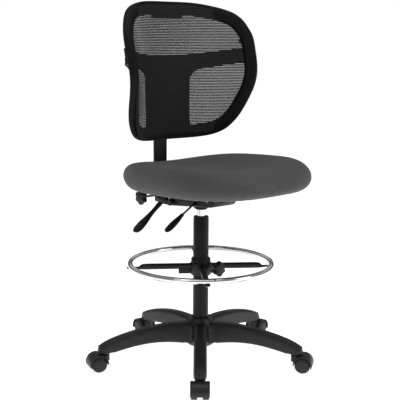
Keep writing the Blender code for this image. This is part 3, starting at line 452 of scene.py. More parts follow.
def carve(solid, cutter):
    """The mesh of one shape with another cut out of it."""
    body, tool = scratch(solid.make()), scratch(cutter.make())
    cut = body.modifiers.new("cut", "BOOLEAN")
    cut.operation, cut.solver, cut.use_self, cut.object = "DIFFERENCE", "EXACT", True, tool
    mesh = applied(body)
    bpy.data.objects.remove(tool, do_unlink=True)
    return mesh


def piece(name, mesh, material, body=None, replaces=(), like=None, sharp=40.0):
    """Places a finished mesh, moves it to the column's axis and makes it ride on its body.
    The body is that of a CAD node, the one replaced unless another is named."""
    replaces = (replaces,) if isinstance(replaces, str) else replaces
    node = like or (replaces[0] if replaces else None)
    mesh.name = name
    mesh.transform(Matrix.Translation(AXIS))
    mesh.shade_smooth()
    if sharp:
        mesh.set_sharp_from_angle(angle=math.radians(sharp))
    mesh.materials.clear()
    mesh.materials.append(material)
    obj = bpy.data.objects.new(name, mesh)
    bpy.context.scene.collection.objects.link(obj)
    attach(obj, body or BODIES[node])
    if replaces:
        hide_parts(*replaces)
    return obj


def finish_node(node, material):
    """A CAD node whose shape is right stays, with a detailed material."""
    obj = frame["nodes"][node]
    for entry in obj.material_slots:
        entry.link = "OBJECT"
        entry.material = material


# ---- base and column ----------------------------------------------------------

ARM_HEADINGS = [-41.0 + 72.0 * i for i in range(5)]
CASTER_TURNS = (0.0, 4.0, 0.0, 0.0, 6.0)
SOCKET_RADIUS = 0.320
HUB_TOP = 0.1645


def arm_section(distance, width, drop):
    """A crest that falls faster outwards, sloping shoulders and a side that leans out to a rounded foot."""
    flare = max(0.0, (0.075 - distance) / 0.045) ** 2
    half = 0.0205 * width + 0.010 * flare
    top = 0.1525 - 0.72 * max(0.0, distance - 0.070) ** 2 - drop
    foot = 0.073 + 0.024 * math.sin(math.pi * min(distance / 0.31, 1.0))
    side = (
        (0.80 * half, foot),
        (0.96 * half, foot + 0.0012),
        (half, foot + 0.0040),
        (0.985 * half, 0.5 * (foot + top)),
        (0.95 * half, top - 0.0115),
        (0.86 * half, top - 0.0040),
        (0.70 * half, top - 0.0006),
        (0.52 * half, top),
    )
    return [(distance, y, z) for y, z in (*side, *[(-y, z) for y, z in reversed(side)])]


def make_base(nylon):
    stations = [(0.016, 1.0, 0.016), (0.046, 1.0, 0.001)]
    stations += [(d, 1.0, 0.0) for d in (0.060, 0.075, 0.095, 0.120, 0.150, 0.180, 0.210, 0.240, 0.270, 0.295)]
    stations += [(0.314, 1.0, 0.0015), (0.325, 0.95, 0.003), (0.334, 0.84, 0.005), (0.340, 0.62, 0.009)]
    body = Shape()
    for degrees in ARM_HEADINGS:
        body.loft([arm_section(*station) for station in stations], place=along(degrees))
    body.turned([(0.040, 0.074), (0.043, 0.078), (0.043, 0.146), (0.038, 0.157), (0.0345, HUB_TOP)], 64)
    star = blended(body.make(), 0.0024, 5)

    trim = Shape()
    trim.mesh.from_mesh(star)
    collar = [(0.0256, 0.150), (0.0335, 0.150), (0.0335, 0.1648), (0.0322, 0.1662), (0.0285, 0.1662),
        (0.0262, 0.1640)]
    trim.turned(collar, 64, ring=True)
    for degrees in ARM_HEADINGS:
        turn = along(degrees)
        # The square pad moulded into the arm's nose, and the caster's socket under it.
        tilt = at(0.3335, 0.0, 0.0870) @ Matrix.Rotation(math.radians(-12.0), 4, "Y")
        trim.block((0.0, -0.0105, -0.0085), (0.0062, 0.0105, 0.0105), 0.0016, 2, turn @ tilt)
        socket = [(0.0068, 0.0725), (0.0150, 0.0725), (0.0156, 0.0735), (0.0156, 0.080), (0.0068, 0.080)]
        trim.turned(socket, 32, ring=True, place=turn @ at(SOCKET_RADIUS, 0.0, 0.0))
        # Ribs of the hollow underside.
        for k in range(5):
            distance = 0.085 + 0.045 * k
            foot = 0.073 + 0.024 * math.sin(math.pi * distance / 0.31)
            trim.block((distance, -0.0150, foot - 0.0012), (distance + 0.0022, 0.0150, foot + 0.004),
                0.0005, 1, turn)
        for side in (-1.0, 1.0):
            path = []
            for k in range(13):
                distance = 0.060 + 0.235 * k / 12
                foot = 0.073 + 0.024 * math.sin(math.pi * distance / 0.31)
                path.append((distance, side * 0.0165, foot + 0.0002))
            trim.tube(path, 0.0018, 8, turn)
    piece("base_star", trim.make(), nylon, replaces="star_base")


def make_column(paint, plastic, chrome):
    inner = 0.0225
    tube = Shape()
    profile = [(0.0068, 0.0725), (0.0232, 0.0725), (0.0238, 0.0735), (0.0250, HUB_TOP), (0.0250, 0.4930)]
    profile += [(0.0247, 0.4944), (0.0240, 0.4950), (inner, 0.4950), (0.0213, 0.0765), (0.0068, 0.0765)]
    tube.turned(profile, 96, ring=True)
    for z in (0.4720, 0.4745):
        tube.turned([(0.0246, z - 0.0007), (0.0253, z), (0.0246, z + 0.0007)], 96, ring=True)
    piece("column_outer_tube", tube.make(), paint, replaces="column_tube", sharp=30.0)

    collar = Shape()
    slide = 0.0144
    profile = [(slide, 0.440), (0.0220, 0.440), (0.0222, 0.4953), (0.0240, 0.4953), (0.0243, 0.4960)]
    profile += [(0.0243, 0.4976), (0.0236, 0.4990), (0.0205, 0.5000), (0.0160, 0.5003), (slide, 0.4996)]
    collar.turned(profile, 64, ring=True)
    piece("column_collar", collar.make(), plastic, replaces="column_bushing", sharp=30.0)

    cylinder = Shape()
    profile = [(0.0045, 0.5505), (0.0045, 0.5680), (0.0122, 0.5680), (0.0128, 0.5672), (0.0140, 0.5230)]
    profile += [(0.0140, 0.1262), (0.0132, 0.1250), (0.0058, 0.1250), (0.0058, 0.1290), (0.0120, 0.1290),
        (0.0120, 0.5430)]
    cylinder.turned(profile, 64)
    piece("lift_cylinder", cylinder.make(), chrome, replaces="gas_cylinder", sharp=30.0)


# ---- casters ------------------------------------------------------------------


def caster_hood():
    """Hood, web and stem boss about the stem's axis, trailing along +X."""
    axle = (0.024, 0.025)
    boss = Shape()
    profile = [(0.0150, 0.0310), (0.0160, 0.0322), (0.0160, 0.0508), (0.0153, 0.0530), (0.0132, 0.0537),
        (0.0062, 0.0537)]
    boss.turned(profile, 48)
    room = Shape()
    for side in (-1.0, 1.0):
        room.prism(arc(axle, 0.0266, 0.0, 350.0, 35), side * 0.0185 - 0.0115, side * 0.0185 + 0.0115, "Y")
    shape = Shape()
    neck = carve(boss, room)
    shape.mesh.from_mesh(neck)
    shell = arc(axle, 0.0299, -16.0, 184.0, 34) + arc(axle, 0.0272, 184.0, -16.0, 34)
    shape.prism(shell, -0.0284, 0.0284, "Y", 0.0010, 2)
    for side in (-1.0, 1.0):
        lip = arc(axle, 0.0301, -14.0, 182.0, 34) + arc(axle, 0.0266, 182.0, -14.0, 34)
        shape.prism(lip, side * 0.0284 - 0.0006, side * 0.0284 + 0.0006, "Y", 0.0004, 1)
    web = arc(axle, 0.0285, -13.0, 181.0, 30) + arc(axle, 0.0145, 200.0, 340.0, 16)
    shape.prism(web, -0.0070, 0.0070, "Y", 0.0012, 2)
    return shape.make()


def caster_wheel():
    """A wheel about Z, its domed face upward: tread, rounded rim, face ring and a plain disc."""
    profile = [(0.0034, 0.0238), (0.0034, 0.0078), (0.0180, 0.0078), (0.0190, 0.0084), (0.0236, 0.0084)]
    profile += [(0.0244, 0.0088), (0.0250, 0.0100), (0.0250, 0.0228)]
    profile += [(0.0250 - 0.0046 * (1.0 - math.cos(a)), 0.0228 + 0.0046 * math.sin(a)) for a in
                (math.radians(15.0 * k) for k in range(1, 6))]
    profile += [(0.0206, 0.0276), (0.0200, 0.0271), (0.0194, 0.0276), (0.0150, 0.0283), (0.0080, 0.0287),
        (0.0020, 0.0288)]
    shape = Shape()
    shape.turned(profile, 64)
    for k in range(10):
        turn = Matrix.Rotation(math.radians(36.0 * k), 4, "Z")
        shape.block((0.0050, -0.0006, 0.0072), (0.0185, 0.0006, 0.0084), 0.0003, 1, turn)
    return shape.make()


def make_casters(nylon, steel):
    hood, wheel = caster_hood(), caster_wheel()
    for i, arm in enumerate(ARM_HEADINGS):
        n = i + 1
        foot = Matrix.Translation(heading(arm) * SOCKET_RADIUS + Vector((0.0, 0.0,
            DATUM))) @ along(arm + CASTER_TURNS[i])
        hub = foot @ at(0.024, 0.0, 0.025)
        hood_n = hood.copy()
        hood_n.transform(foot)
        piece(f"caster_cover_{n}", hood_n, nylon, replaces=f"caster_hood_{n}", sharp=32.0)
        for side, turn in (("left", -1.0), ("right", 1.0)):
            wheel_n = wheel.copy()
            wheel_n.transform(hub @ Matrix.Rotation(turn * QUARTER, 4, "X"))
            piece(f"wheel_{side}_{n}", wheel_n, nylon, replaces=f"caster_wheel_{side}_{n}", sharp=32.0)
        finish_node(f"caster_stem_{n}", steel)
        finish_node(f"caster_axle_{n}", steel)


# ---- foot ring ----------------------------------------------------------------

RING_HEIGHT = 0.343
RING_RADIUS = 0.228
SPOKE_HEADINGS = [-36.0 + 90.0 * i for i in range(4)]


def knob_mesh(place):
    """A six-lobed hand knob about Z with a waist, a domed face, a cap and a metal insert."""
    lobed = Shape()
    rows = ((0.52, -0.0030), (0.56, -0.0006), (0.80, 0.0), (0.93, 0.0012), (1.0, 0.0040), (1.0, 0.0120))
    rows += ((0.97, 0.0150), (0.88, 0.0172), (0.70, 0.0184), (0.46, 0.0189), (0.43, 0.0184), (0.40, 0.0189))
    rows += ((0.20, 0.0192),)
    lobed.loft([circle(k * 0.0225, z, 96, 6, k * k * 0.0027) for k, z in rows])
    for k in range(6):
        turn = Matrix.Rotation(math.radians(60.0 * k + 30.0), 4, "Z")
        lobed.block((0.0120, -0.0008, 0.0166), (0.0175, 0.0008, 0.0182), 0.0004, 1, turn)
    mesh = lobed.make()
    mesh.transform(place)
    return mesh


def make_foot_ring(chrome, plastic, steel):
    ring = Shape()
    sections = []
    for k in range(144):
        direction = heading(2.5 * k)
        rim = arc((RING_RADIUS, RING_HEIGHT), 0.0091, 0.0, 360.0, 20)[:-1]
        sections.append([direction * x + Vector((0.0, 0.0, z)) for x, z in rim])
    ring.loft(sections, ring=True)
    # The weld where the tube's ends meet.
    weld = [heading(55.0 + 0.16 * math.sin(2.4 * k)) * (RING_RADIUS + 0.0091 * math.cos(k * math.pi / 14)) +
            Vector((0.0, 0.0, RING_HEIGHT + 0.0091 * math.sin(k * math.pi / 14))) for k in range(29)]
    ring.tube(weld, 0.0006, 8)
    piece("foot_ring_tube", ring.make(), chrome, replaces="foot_ring", sharp=0.0)

    spider = Shape()
    profile = [(0.0254, 0.3070), (0.0295, 0.3070), (0.0325, 0.3080), (0.0338, 0.3105), (0.0338, 0.3450),
        (0.0325, 0.3480)]
    profile += [(0.0305, 0.3492), (0.0300, 0.3505), (0.0300, 0.3610), (0.0290, 0.3628), (0.0254, 0.3630)]
    spider.turned(profile, 64, ring=True)
    for k in range(24):
        turn = Matrix.Rotation(math.radians(15.0 * k), 4, "Z")
        spider.block((0.0290, -0.0011, 0.3520), (0.0312, 0.0011, 0.3608), 0.0005, 1, turn)
    low, high = 0.3257, 0.3443
    tab = RING_HEIGHT - 0.009 - GAP
    stations = [(0.028, 1.15, low - 0.003, high + 0.003), (0.040, 1.02, low, high),
        (0.120, 0.95, low, high - 0.0003)]
    stations += [(0.185, 0.92, low, high - 0.001), (0.200, 0.95, 0.5 * (low + tab - 0.0045), tab + 0.001)]
    stations += [(0.2140, 1.0, tab - 0.0045, tab), (0.2340, 1.0, tab - 0.0045, tab),
        (0.2395, 0.6, tab - 0.0040, tab - 0.0005)]
    stations = catmull(stations, 4)
    for degrees in SPOKE_HEADINGS:
        sections = []
        for distance, width, foot, top in stations:
            oval = superellipse(0.0093 * width, 0.5 * (top - foot), 3.0, 24)
            sections.append([(distance, u, 0.5 * (top + foot) + v) for u, v in oval])
        spider.loft(sections, place=along(degrees))
        spider.block((0.030, -0.0018, 0.3100), (0.072, 0.0018, 0.3290), 0.0008, 2, along(degrees))
    clamp = along(9.0) @ at(0.0, 0.0, 0.337) @ Matrix.Rotation(QUARTER, 4, "Y")
    lug = [(0.0043, 0.0270), (0.0130, 0.0270), (0.0122, 0.0350), (0.0115, 0.0385), (0.0100, 0.0400),
        (0.0043, 0.0400)]
    spider.turned(lug, 40, ring=True, place=clamp)
    piece("ring_spider", spider.make(), plastic, replaces="foot_ring_spider")
    piece("ring_knob", knob_mesh(clamp @ at(0.0, 0.0, 0.068)), plastic, replaces="foot_ring_clamp_knob")
    for n in range(1, 5):
        finish_node(f"foot_ring_screw_{n}", steel)
    plugs = Shape()
    for degrees in SPOKE_HEADINGS:
        plugs.turned([(0.0026, -0.0010), (0.0030, 0.0), (0.0024, 0.0008), (0.0010, 0.0010)], 20,
                     place=along(degrees + 5.5) @ at(RING_RADIUS + 0.0060, 0.0, RING_HEIGHT + 0.0069)
                     @ Matrix.Rotation(math.radians(41.0), 4, "Y"))
    piece("ring_vent_plugs", plugs.make(), plastic, body="foot_ring", like="foot_ring_spider")


# ---- seat mechanism -----------------------------------------------------------

SEAT_SLOPE = math.radians(2.0)
HOUSING_TOP = 0.5870
SEAT_PLANE = at(0.0, 0.0, HOUSING_TOP) @ Matrix.Rotation(-SEAT_SLOPE, 4, "X")


def housing_top(y):
    return HOUSING_TOP - math.tan(SEAT_SLOPE) * y - GAP


def make_housing(paint, steel):
    def outline(inset, rise):
        front, rear = -0.118 + inset, 0.105 - inset
        return (
            (front, housing_top(front) + rise),
            (front, 0.562 + 0.4 * inset),
            (-0.103 + 0.4 * inset, 0.545 + inset),
            (rear, 0.5235 + inset),
            (rear, housing_top(rear) + rise),
        )

    pan = Shape()
    wall = 0.0025
    pan.prism(outline(0.0, 0.0), -0.050, 0.050, "X", 0.004, 3)
    solid = scratch(pan.make())
    cuts = Shape()
    cuts.prism(outline(wall, 0.02), -0.0475, 0.0475, "X", 0.002, 2)
    cuts.block((-0.060, -0.037, 0.5445), (-0.040, -0.023, 0.5625), 0.004, 3)
    cuts.block((-0.038, 0.080, 0.5335), (0.038, 0.120, 0.600), 0.002, 2)
    for y in (-0.085, 0.045):
        cuts.turned([(0.0070, -0.07), (0.0070, 0.07)], 32, place=at(0.0, y,
            0.566) @ Matrix.Rotation(QUARTER, 4, "Y"))
    cutter = scratch(cuts.make())
    hollow = solid.modifiers.new("hollow", "BOOLEAN")
    hollow.operation, hollow.solver, hollow.use_self, hollow.object = "DIFFERENCE", "EXACT", True, cutter
    pressed = applied(solid)
    bpy.data.objects.remove(cutter, do_unlink=True)

    detail = Shape()
    detail.mesh.from_mesh(pressed)
    # The lift's taper sleeve, the pressed bead on each side and the flanges that meet the plate.
    sleeve = [(0.0143, 0.5220), (0.0190, 0.5220), (0.0198, 0.5232), (0.0198, 0.5600), (0.0185, 0.5620),
        (0.0143, 0.5620)]
    detail.turned(sleeve, 48, ring=True)
    detail.turned([(0.0196, 0.5268), (0.0240, 0.5268), (0.0240, 0.5300), (0.0196, 0.5330)], 48, ring=True)
    for side in (-1.0, 1.0):
        bead = [(side * 0.0502, y, 0.5600 - 0.09 * (y + 0.10)) for y in (-0.100, -0.060, -0.015)]
        detail.tube(bead, [0.0016, 0.0022, 0.0016], 12)
        bead = [(side * 0.0502, y, 0.5500 - 0.06 * (y - 0.01)) for y in (0.010, 0.040, 0.068)]
        detail.tube(bead, [0.0016, 0.0022, 0.0016], 12)
        for near, far in ((-0.113, -0.070), (0.055, 0.100)):
            edge = sorted((side * 0.0480, side * 0.0640))
            detail.block((edge[0], near, housing_top(far) - 0.0012),
                (edge[1], far, housing_top(far) + 0.0008), 0.0008, 2)
    piece("mechanism_pan", detail.make(), paint, replaces="mechanism_housing", sharp=35.0)

    plate = Shape()
    plate.prism(superellipse(0.088, 0.122, 7.0, 64), GAP, 0.0033, "Z", 0.0009, 2, SEAT_PLANE)
    piece("seat_plate", plate.make(), paint, replaces="mechanism_plate", sharp=35.0)

    bolts = Shape()
    under = Matrix.Rotation(2.0 * QUARTER, 4, "X")
    for x in (-0.074, 0.074):
        for y in (-0.105, 0.105):
            bolts.turned([(0.0078, 0.0), (0.0078, 0.0009), (0.0068, 0.0012)], 32,
                place=SEAT_PLANE @ at(x, y, 0.0003) @ under)
            bolts.screw_head(SEAT_PLANE @ at(x, y, -0.0009) @ under, 0.0060, 0.0036)
    for y in (-0.085, 0.045):
        for side in (-1.0, 1.0):
            bolts.screw_head(at(side * 0.0500, y, 0.566) @ Matrix.Rotation(side * QUARTER, 4, "Y"), 0.0062,
                0.0026)
    piece("mechanism_bolts", bolts.make(), steel, body="seat", like="tilt_pin", sharp=30.0)


def make_levers(paint, plastic):
    pivot = at(-0.050, -0.030, 0.553)
    path = [(0.052, 0.031, 0.0213), (0.030, 0.017, 0.0205), (0.010, 0.003, 0.0120), (0.000, 0.000, 0.0020)]
    path += [(-0.012, 0.000, -0.0080), (-0.0505, 0.000, -0.0315)]
    rod = Shape()
    rod.tube(catmull(path, 6), 0.0032, 20, pivot)
    piece("height_rod", rod.make(), paint, replaces="height_lever_rod", sharp=30.0)

    grip = pivot @ at(-0.0512, 0.0, -0.0321) @ Matrix.Rotation(math.radians(-34.5), 4, "Y")
    handle = Shape()
    stations = [(0.0, 0.0050, 0.0046), (0.003, 0.0060, 0.0054), (0.010, 0.0062, 0.0056),
        (0.022, 0.0104, 0.0056)]
    stations += [(0.036, 0.0130, 0.0060), (0.052, 0.0142, 0.0061), (0.066, 0.0139, 0.0056),
        (0.075, 0.0118, 0.0047)]
    stations += [(0.0805, 0.0076, 0.0032), (0.0822, 0.0034, 0.0015)]
    sections = []
    for d, w, t in catmull(stations, 4):
        sections.append([(-d, w * u, t * v) for u, v in superellipse(1.0, 1.0, 2.6, 32)])
    handle.loft(sections, place=grip)
    for k in range(6):
        d = 0.047 + 0.0045 * k
        width = 0.0094 - 0.0007 * k
        handle.block((-d - 0.0009, -width, 0.0045), (-d + 0.0009, width, 0.0068 - 0.0002 * k), 0.0007, 2, grip)
    piece("height_grip", handle.make(), plastic, replaces="height_lever_handle", sharp=32.0)

    pivot = at(-0.053, 0.086, 0.536)
    grip = pivot @ at(-0.0025, 0.050, -0.005) @ Matrix.Rotation(math.radians(-38.5), 4, "Y")
    paddle = Shape()
    stations = [(-0.004, 0.0070, 0.0045), (0.002, 0.0088, 0.0058), (0.012, 0.0096, 0.0062),
        (0.026, 0.0085, 0.0056)]
    stations += [(0.044, 0.0087, 0.0054), (0.064, 0.0112, 0.0057), (0.085, 0.0160, 0.0062),
        (0.106, 0.0194, 0.0062)]
    stations += [(0.120, 0.0194, 0.0056), (0.130, 0.0166, 0.0047), (0.1358, 0.0110, 0.0033),
        (0.1376, 0.0048, 0.0016)]
    sections = []
    for d, w, t in catmull(stations, 4):
        sections.append([(-d, w * u, t * v) for u, v in superellipse(1.0, 1.0, 2.8, 32)])
    paddle.loft(sections, place=grip)
    for k in range(7):
        d = 0.092 + 0.0058 * k
        width = 0.0152 - 0.0012 * abs(k - 2.0)
        paddle.block((-d - 0.0011, -width, 0.0045), (-d + 0.0011, width, 0.0073 - 0.0003 * k), 0.0008, 2, grip)
    spine = [(-0.020, 0.0, 0.0050), (-0.045, 0.0, 0.0052), (-0.070, 0.0, 0.0056)]
    paddle.tube(spine, [0.0012, 0.0022, 0.0012], 12, grip)
    paddle.block((-0.0085, -0.009, -0.008), (-0.0022, 0.056, 0.008), 0.0028, 3, pivot)
    paddle.turned([(0.0092, -0.0090), (0.0092, -0.0030), (0.0078, -0.0018)], 32,
                  place=pivot @ Matrix.Rotation(QUARTER, 4, "Y"))
    piece("back_paddle", paddle.make(), plastic, replaces="back_lever_paddle", sharp=32.0)


def make_carrier(paint, plastic):
    tail = Shape()
    tail.block((-0.046, 0.112, 0.5265), (0.046, 0.184, 0.5680), 0.0035, 3)
    tail.block((-0.036, 0.0855, 0.5385), (0.036, 0.1145, 0.5605), 0.0035, 3)
    cuts = Shape()
    cuts.block((-0.0254, 0.1165, 0.5416), (0.0254, 0.205, 0.5544), 0.0008, 1)
    cuts.block((-0.042, 0.1165, 0.559), (0.042, 0.1815, 0.580), 0.0030, 2)
    cuts.turned([(0.0043, -0.06), (0.0043, 0.06)], 24, place=at(0.0, 0.098,
        0.548) @ Matrix.Rotation(QUARTER, 4, "Y"))
    cuts.turned([(0.0043, 0.020), (0.0043, 0.060)], 24, place=at(0.0, 0.165,
        0.550) @ Matrix.Rotation(-QUARTER, 4, "Y"))
    solid, cutter = scratch(tail.make()), scratch(cuts.make())
    cut = solid.modifiers.new("cut", "BOOLEAN")
    cut.operation, cut.solver, cut.use_self, cut.object = "DIFFERENCE", "EXACT", True, cutter
    carved = applied(solid)
    bpy.data.objects.remove(cutter, do_unlink=True)
    detail = Shape()
    detail.mesh.from_mesh(carved)
    nut = [(0.0044, 0.0450), (0.0105, 0.0450), (0.0105, 0.0510), (0.0095, 0.0525), (0.0044, 0.0525)]
    detail.turned(nut, 32, ring=True, place=at(0.0, 0.165, 0.550) @ Matrix.Rotation(-QUARTER, 4, "Y"))
    for y in (0.128, 0.150):
        detail.tube([(0.0462, y, 0.5330), (0.0462, y, 0.5620)], 0.0016, 12)
        detail.tube([(-0.0462, y - 0.004, 0.5330), (-0.0462, y - 0.004, 0.5620)], 0.0016, 12)
    piece("tilt_bracket", detail.make(), paint, replaces="tilt_carrier", sharp=35.0)
    place = at(0.0, 0.165, 0.550) @ Matrix.Rotation(-QUARTER, 4, "Y") @ at(0.0, 0.0, 0.106)
    piece("depth_knob_grip", knob_mesh(place), plastic, replaces="depth_clamp_knob")

    bar = Shape()
    half = 0.006
    bend = (BAR_POST_Y - 0.026, 0.548 + 0.026)
    outline = [(0.119, 0.548 - half), *arc(bend, 0.026 + half, -90.0, 0.0, 20), (BAR_POST_Y + half, 0.992)]
    outline += [(BAR_POST_Y - half, 0.992), *arc(bend, 0.026 - half, 0.0, -90.0, 20), (0.119, 0.548 + half)]
    bar.prism(outline, -0.025, 0.025, "X", 0.0022, 3)
    piece("back_bar", bar.make(), paint, replaces="j_bar", sharp=35.0)


# ---- seat ---------------------------------------------------------------------

SEAT_CENTRE_Y = -0.070
SEAT_HALF_WIDTH = 0.262
SEAT_HALF_DEPTH = 0.268
RIM_FOOT = 0.0055
SEAT_THICKNESS = 0.072
SWELL = 0.002  # how far the foam's start shape is inside its final cover


def seat_rim(inset, steps):
    """The seat's plan outline moved in by a distance: a rounded square, narrower behind."""
    rim = []
    for u, v in superellipse(1.0, 1.0, 3.0, steps):
        rim.append((u * (SEAT_HALF_WIDTH - inset) * (1.0 - 0.03 * v), v * (SEAT_HALF_DEPTH - inset)))
    return rim


def saddle(x, y):
    """The rise of the cushion's top: side bolsters, a dish with a soft edge and a falling front."""
    across, forward = x / SEAT_HALF_WIDTH, y / SEAT_HALF_DEPTH
    dish = math.exp(-((max(0.0, math.hypot(0.9 * across, forward - 0.12) - 0.15) / 0.42) ** 4))
    rise = 0.031 * across * across - 0.015 * dish + 0.004 * max(0.0, forward) ** 2
    return rise - 0.022 * max(0.0, -forward) ** 3


def droop(y):
    """How far the underside's front edge hangs below the rest."""
    return 0.008 * max(0.0, -y / SEAT_HALF_DEPTH) ** 3


def foam():
    """The foam block a little smaller than the finished seat, flat where it sits on its board."""
    shape = Shape()
    rows = [(0.150, 0.0, 0.0), (0.100, 0.0, 0.0), (0.070, 0.0, 0.0), (0.058, 0.0, 0.0)]
    for degrees in range(-80, 91, 10):
        a = math.radians(degrees)
        level = 0.5 * (1.0 + math.sin(a))
        rows.append((0.048 * (1.0 - math.cos(a)) + SWELL, level, level))
    rows += [(inset + SWELL, 1.0, 1.0) for inset in (0.060, 0.075, 0.095, 0.120, 0.150, 0.185, 0.225)]
    sections = []
    for inset, level, share in rows:
        height = SEAT_THICKNESS - SWELL
        sections.append([(x, y + SEAT_CENTRE_Y, RIM_FOOT + height * level + share * saddle(x,
            y) - (1.0 - share) * droop(y)) for x, y in seat_rim(inset, 96)])
    shape.loft(sections)
    return shape.make()


def inflated(mesh, pinned, pressure, cap, frames):
    """The cover blown out against its cloth by the foam, where pinned(point) is false."""
    obj = scratch(mesh)
    rest = [v.co.copy() for v in mesh.vertices]
    group = obj.vertex_groups.new(name="held")
    group.add([i for i, co in enumerate(rest) if pinned(co)], 1.0, "REPLACE")
    cloth = obj.modifiers.new("cloth", "CLOTH")
    settings = cloth.settings
    settings.quality = 5
    settings.mass = 0.35
    settings.tension_stiffness = settings.compression_stiffness = 12.0
    settings.shear_stiffness = 6.0
    settings.bending_stiffness = 1.2
    settings.use_pressure = True
    settings.uniform_pressure_force = pressure
    settings.vertex_group_mass = "held"
    settings.effector_weights.gravity = 0.0
    cloth.collision_settings.use_collision = False
    cloth.point_cache.frame_start, cloth.point_cache.frame_end = 1, frames
    scene = bpy.context.scene
    for frame_number in range(1, frames + 1):
        scene.frame_set(frame_number)
    result = applied(obj)
    scene.frame_set(1)
    for vert, start in zip(result.vertices, rest):
        moved = vert.co - start
        if moved.length > cap:
            vert.co = start + moved * (cap / moved.length)
    return result


def wrap_uvs(mesh):
    """UVs in metres, as cloth lies: flat over the top and running on down the sides."""
    layer = mesh.uv_layers.new(name="cloth")
    spots = []
    for vert in mesh.vertices:
        x, y, _ = vert.co
        y -= SEAT_CENTRE_Y
        reach = max(math.hypot(x, y), 1e-5)
        outward = Vector((vert.normal.x * x + vert.normal.y * y, vert.normal.z * reach)).normalized()
        beyond = 0.060 * math.atan2(max(outward.x, 0.0), max(outward.y, -1.0)) if outward.x > 0.0 else 0.0
        spots.append((x * (1.0 + beyond / reach), y * (1.0 + beyond / reach)))
    for loop in mesh.loops:
        layer.data[loop.index].uv = spots[loop.vertex_index]


def make_seat(fabric, felt, wood, steel):
    block = scratch(foam())
    remesh = block.modifiers.new("even", "REMESH")
    remesh.mode = "VOXEL"
    remesh.voxel_size = 0.0055
    cover = applied(block)
    cover = inflated(cover, lambda co: co.z < RIM_FOOT + 0.004 and abs(co.x) < 0.2, 1.2, 0.0045, 16)
    soft = scratch(cover)
    smooth = soft.modifiers.new("settle", "SMOOTH")
    smooth.factor, smooth.iterations = 0.5, 3
    rounder = soft.modifiers.new("fine", "SUBSURF")
    rounder.levels = rounder.render_levels = 1
    cover = applied(soft)
    # Faint pulls in the cloth, strongest at the corners where it is gathered under the rim.
    normals = [vert.normal.copy() for vert in cover.vertices]
    for vert, normal in zip(cover.vertices, normals):
        x, y, z = vert.co.x, vert.co.y - SEAT_CENTRE_Y, vert.co.z
        angle = math.atan2(y, x)
        corner = abs(math.sin(2.0 * angle)) ** 3
        low = max(0.0, min(1.0, (0.040 - z) / 0.034)) * min(1.0, math.hypot(x, y) / 0.15)
        pull = 0.0009 * corner * low * math.sin(46.0 * angle + 2.0 * noise.noise(Vector((x, y, z)) * 12.0))
        ripple = 0.0007 * noise.noise(Vector((x * 9.0, y * 9.0, z * 14.0)))
        vert.co += normal * (pull + ripple)
    wrap_uvs(cover)
    cover.transform(SEAT_PLANE)
    cushion = piece("seat_cushion_cover", cover, fabric, replaces="seat_cushion", sharp=0.0)

    hem = Shape()
    hem.loft([[(x, y + SEAT_CENTRE_Y, z) for x, y in seat_rim(inset, 128)] for inset, z in
              ((0.071, 0.0060), (0.069, 0.0040), (0.074, 0.0026), (0.092, 0.0024), (0.094, 0.0036),
                  (0.092, 0.0042))], ring=True,
             place=SEAT_PLANE)
    hem_mesh = hem.make()
    layer = hem_mesh.uv_layers.new(name="cloth")
    for loop in hem_mesh.loops:
        co = hem_mesh.vertices[loop.vertex_index].co
        layer.data[loop.index].uv = (co.x, co.y)
    piece("seat_cover_hem", hem_mesh, fabric, like="seat_cushion", sharp=0.0)

    staples = Shape()
    for x, y in seat_rim(0.083, 44):
        turn = math.atan2(y, x) + QUARTER
        place = SEAT_PLANE @ at(x, y + SEAT_CENTRE_Y, 0.0022) @ Matrix.Rotation(turn, 4, "Z")
        staples.tube([(-0.0050, 0.0, 0.0012), (-0.0048, 0.0, 0.0), (0.0048, 0.0, 0.0),
            (0.0050, 0.0, 0.0012)], 0.0005, 6, place)
    piece("seat_staples", staples.make(), steel, body="seat", like="tilt_pin", sharp=0.0)

    dust = Shape()
    outer = seat_rim(0.090, 96)
    inner = superellipse(0.0905, 0.1245, 7.0, 96)
    rows = []
    for k in range(7):
        t = k / 6
        ring = []
        for (x0, y0), (x1, y1) in zip(outer, inner):
            x, y = x0 + (x1 - x0) * t, (y0 + SEAT_CENTRE_Y) * (1.0 - t) + y1 * t
            ring.append((x, y, 0.0022 + 0.0004 * noise.noise(Vector((x * 40.0, y * 40.0, 0.0)))))
        rows.append(ring)
    rows += [[(x, y, 0.0030) for x, y, z in row] for row in rows[::-1]]
    dust.loft(rows, ring=True, place=SEAT_PLANE)
    piece("seat_dust_cover", dust.make(), felt, body="seat", like="seat_cushion", sharp=0.0)
    finish_node("seat_board", wood)


# ---- back ---------------------------------------------------------------------

BAR_POST_Y = 0.2105  # middle of the J-bar's upright
BACK_OUTLINE = (
    (0.0, 1.176), (0.1235, 1.171), (0.218, 1.141), (0.258, 1.079), (0.262, 1.005),
    (0.2505, 0.8925), (0.217, 0.791), (0.150, 0.741), (0.0, 0.732),
)
BAND = 0.0215
NET_ROW = 0.0051
NET_COLUMN = 0.0032
NET_HOLE = (0.86, 0.21)  # shares of a column and of a row


def back_centre(z):
    return 0.1745 + (0.13 if z > 0.93 else -0.27) * (z - 0.93) ** 2


def back_wrap(z):
    return 1.79 + 0.57 * math.exp(-(((z - 0.93) / 0.11) ** 2))


def on_back(x, z, depth=0.0):
    """A point of the back's surface, moved along its rearward normal."""
    def surface(u, w):
        return Vector((u, back_centre(w) - back_wrap(w) * u * u, w))

    step = 0.001
    across = surface(x + step, z) - surface(x - step, z)
    upward = surface(x, z + step) - surface(x, z - step)
    return surface(x, z) + upward.cross(across).normalized() * depth


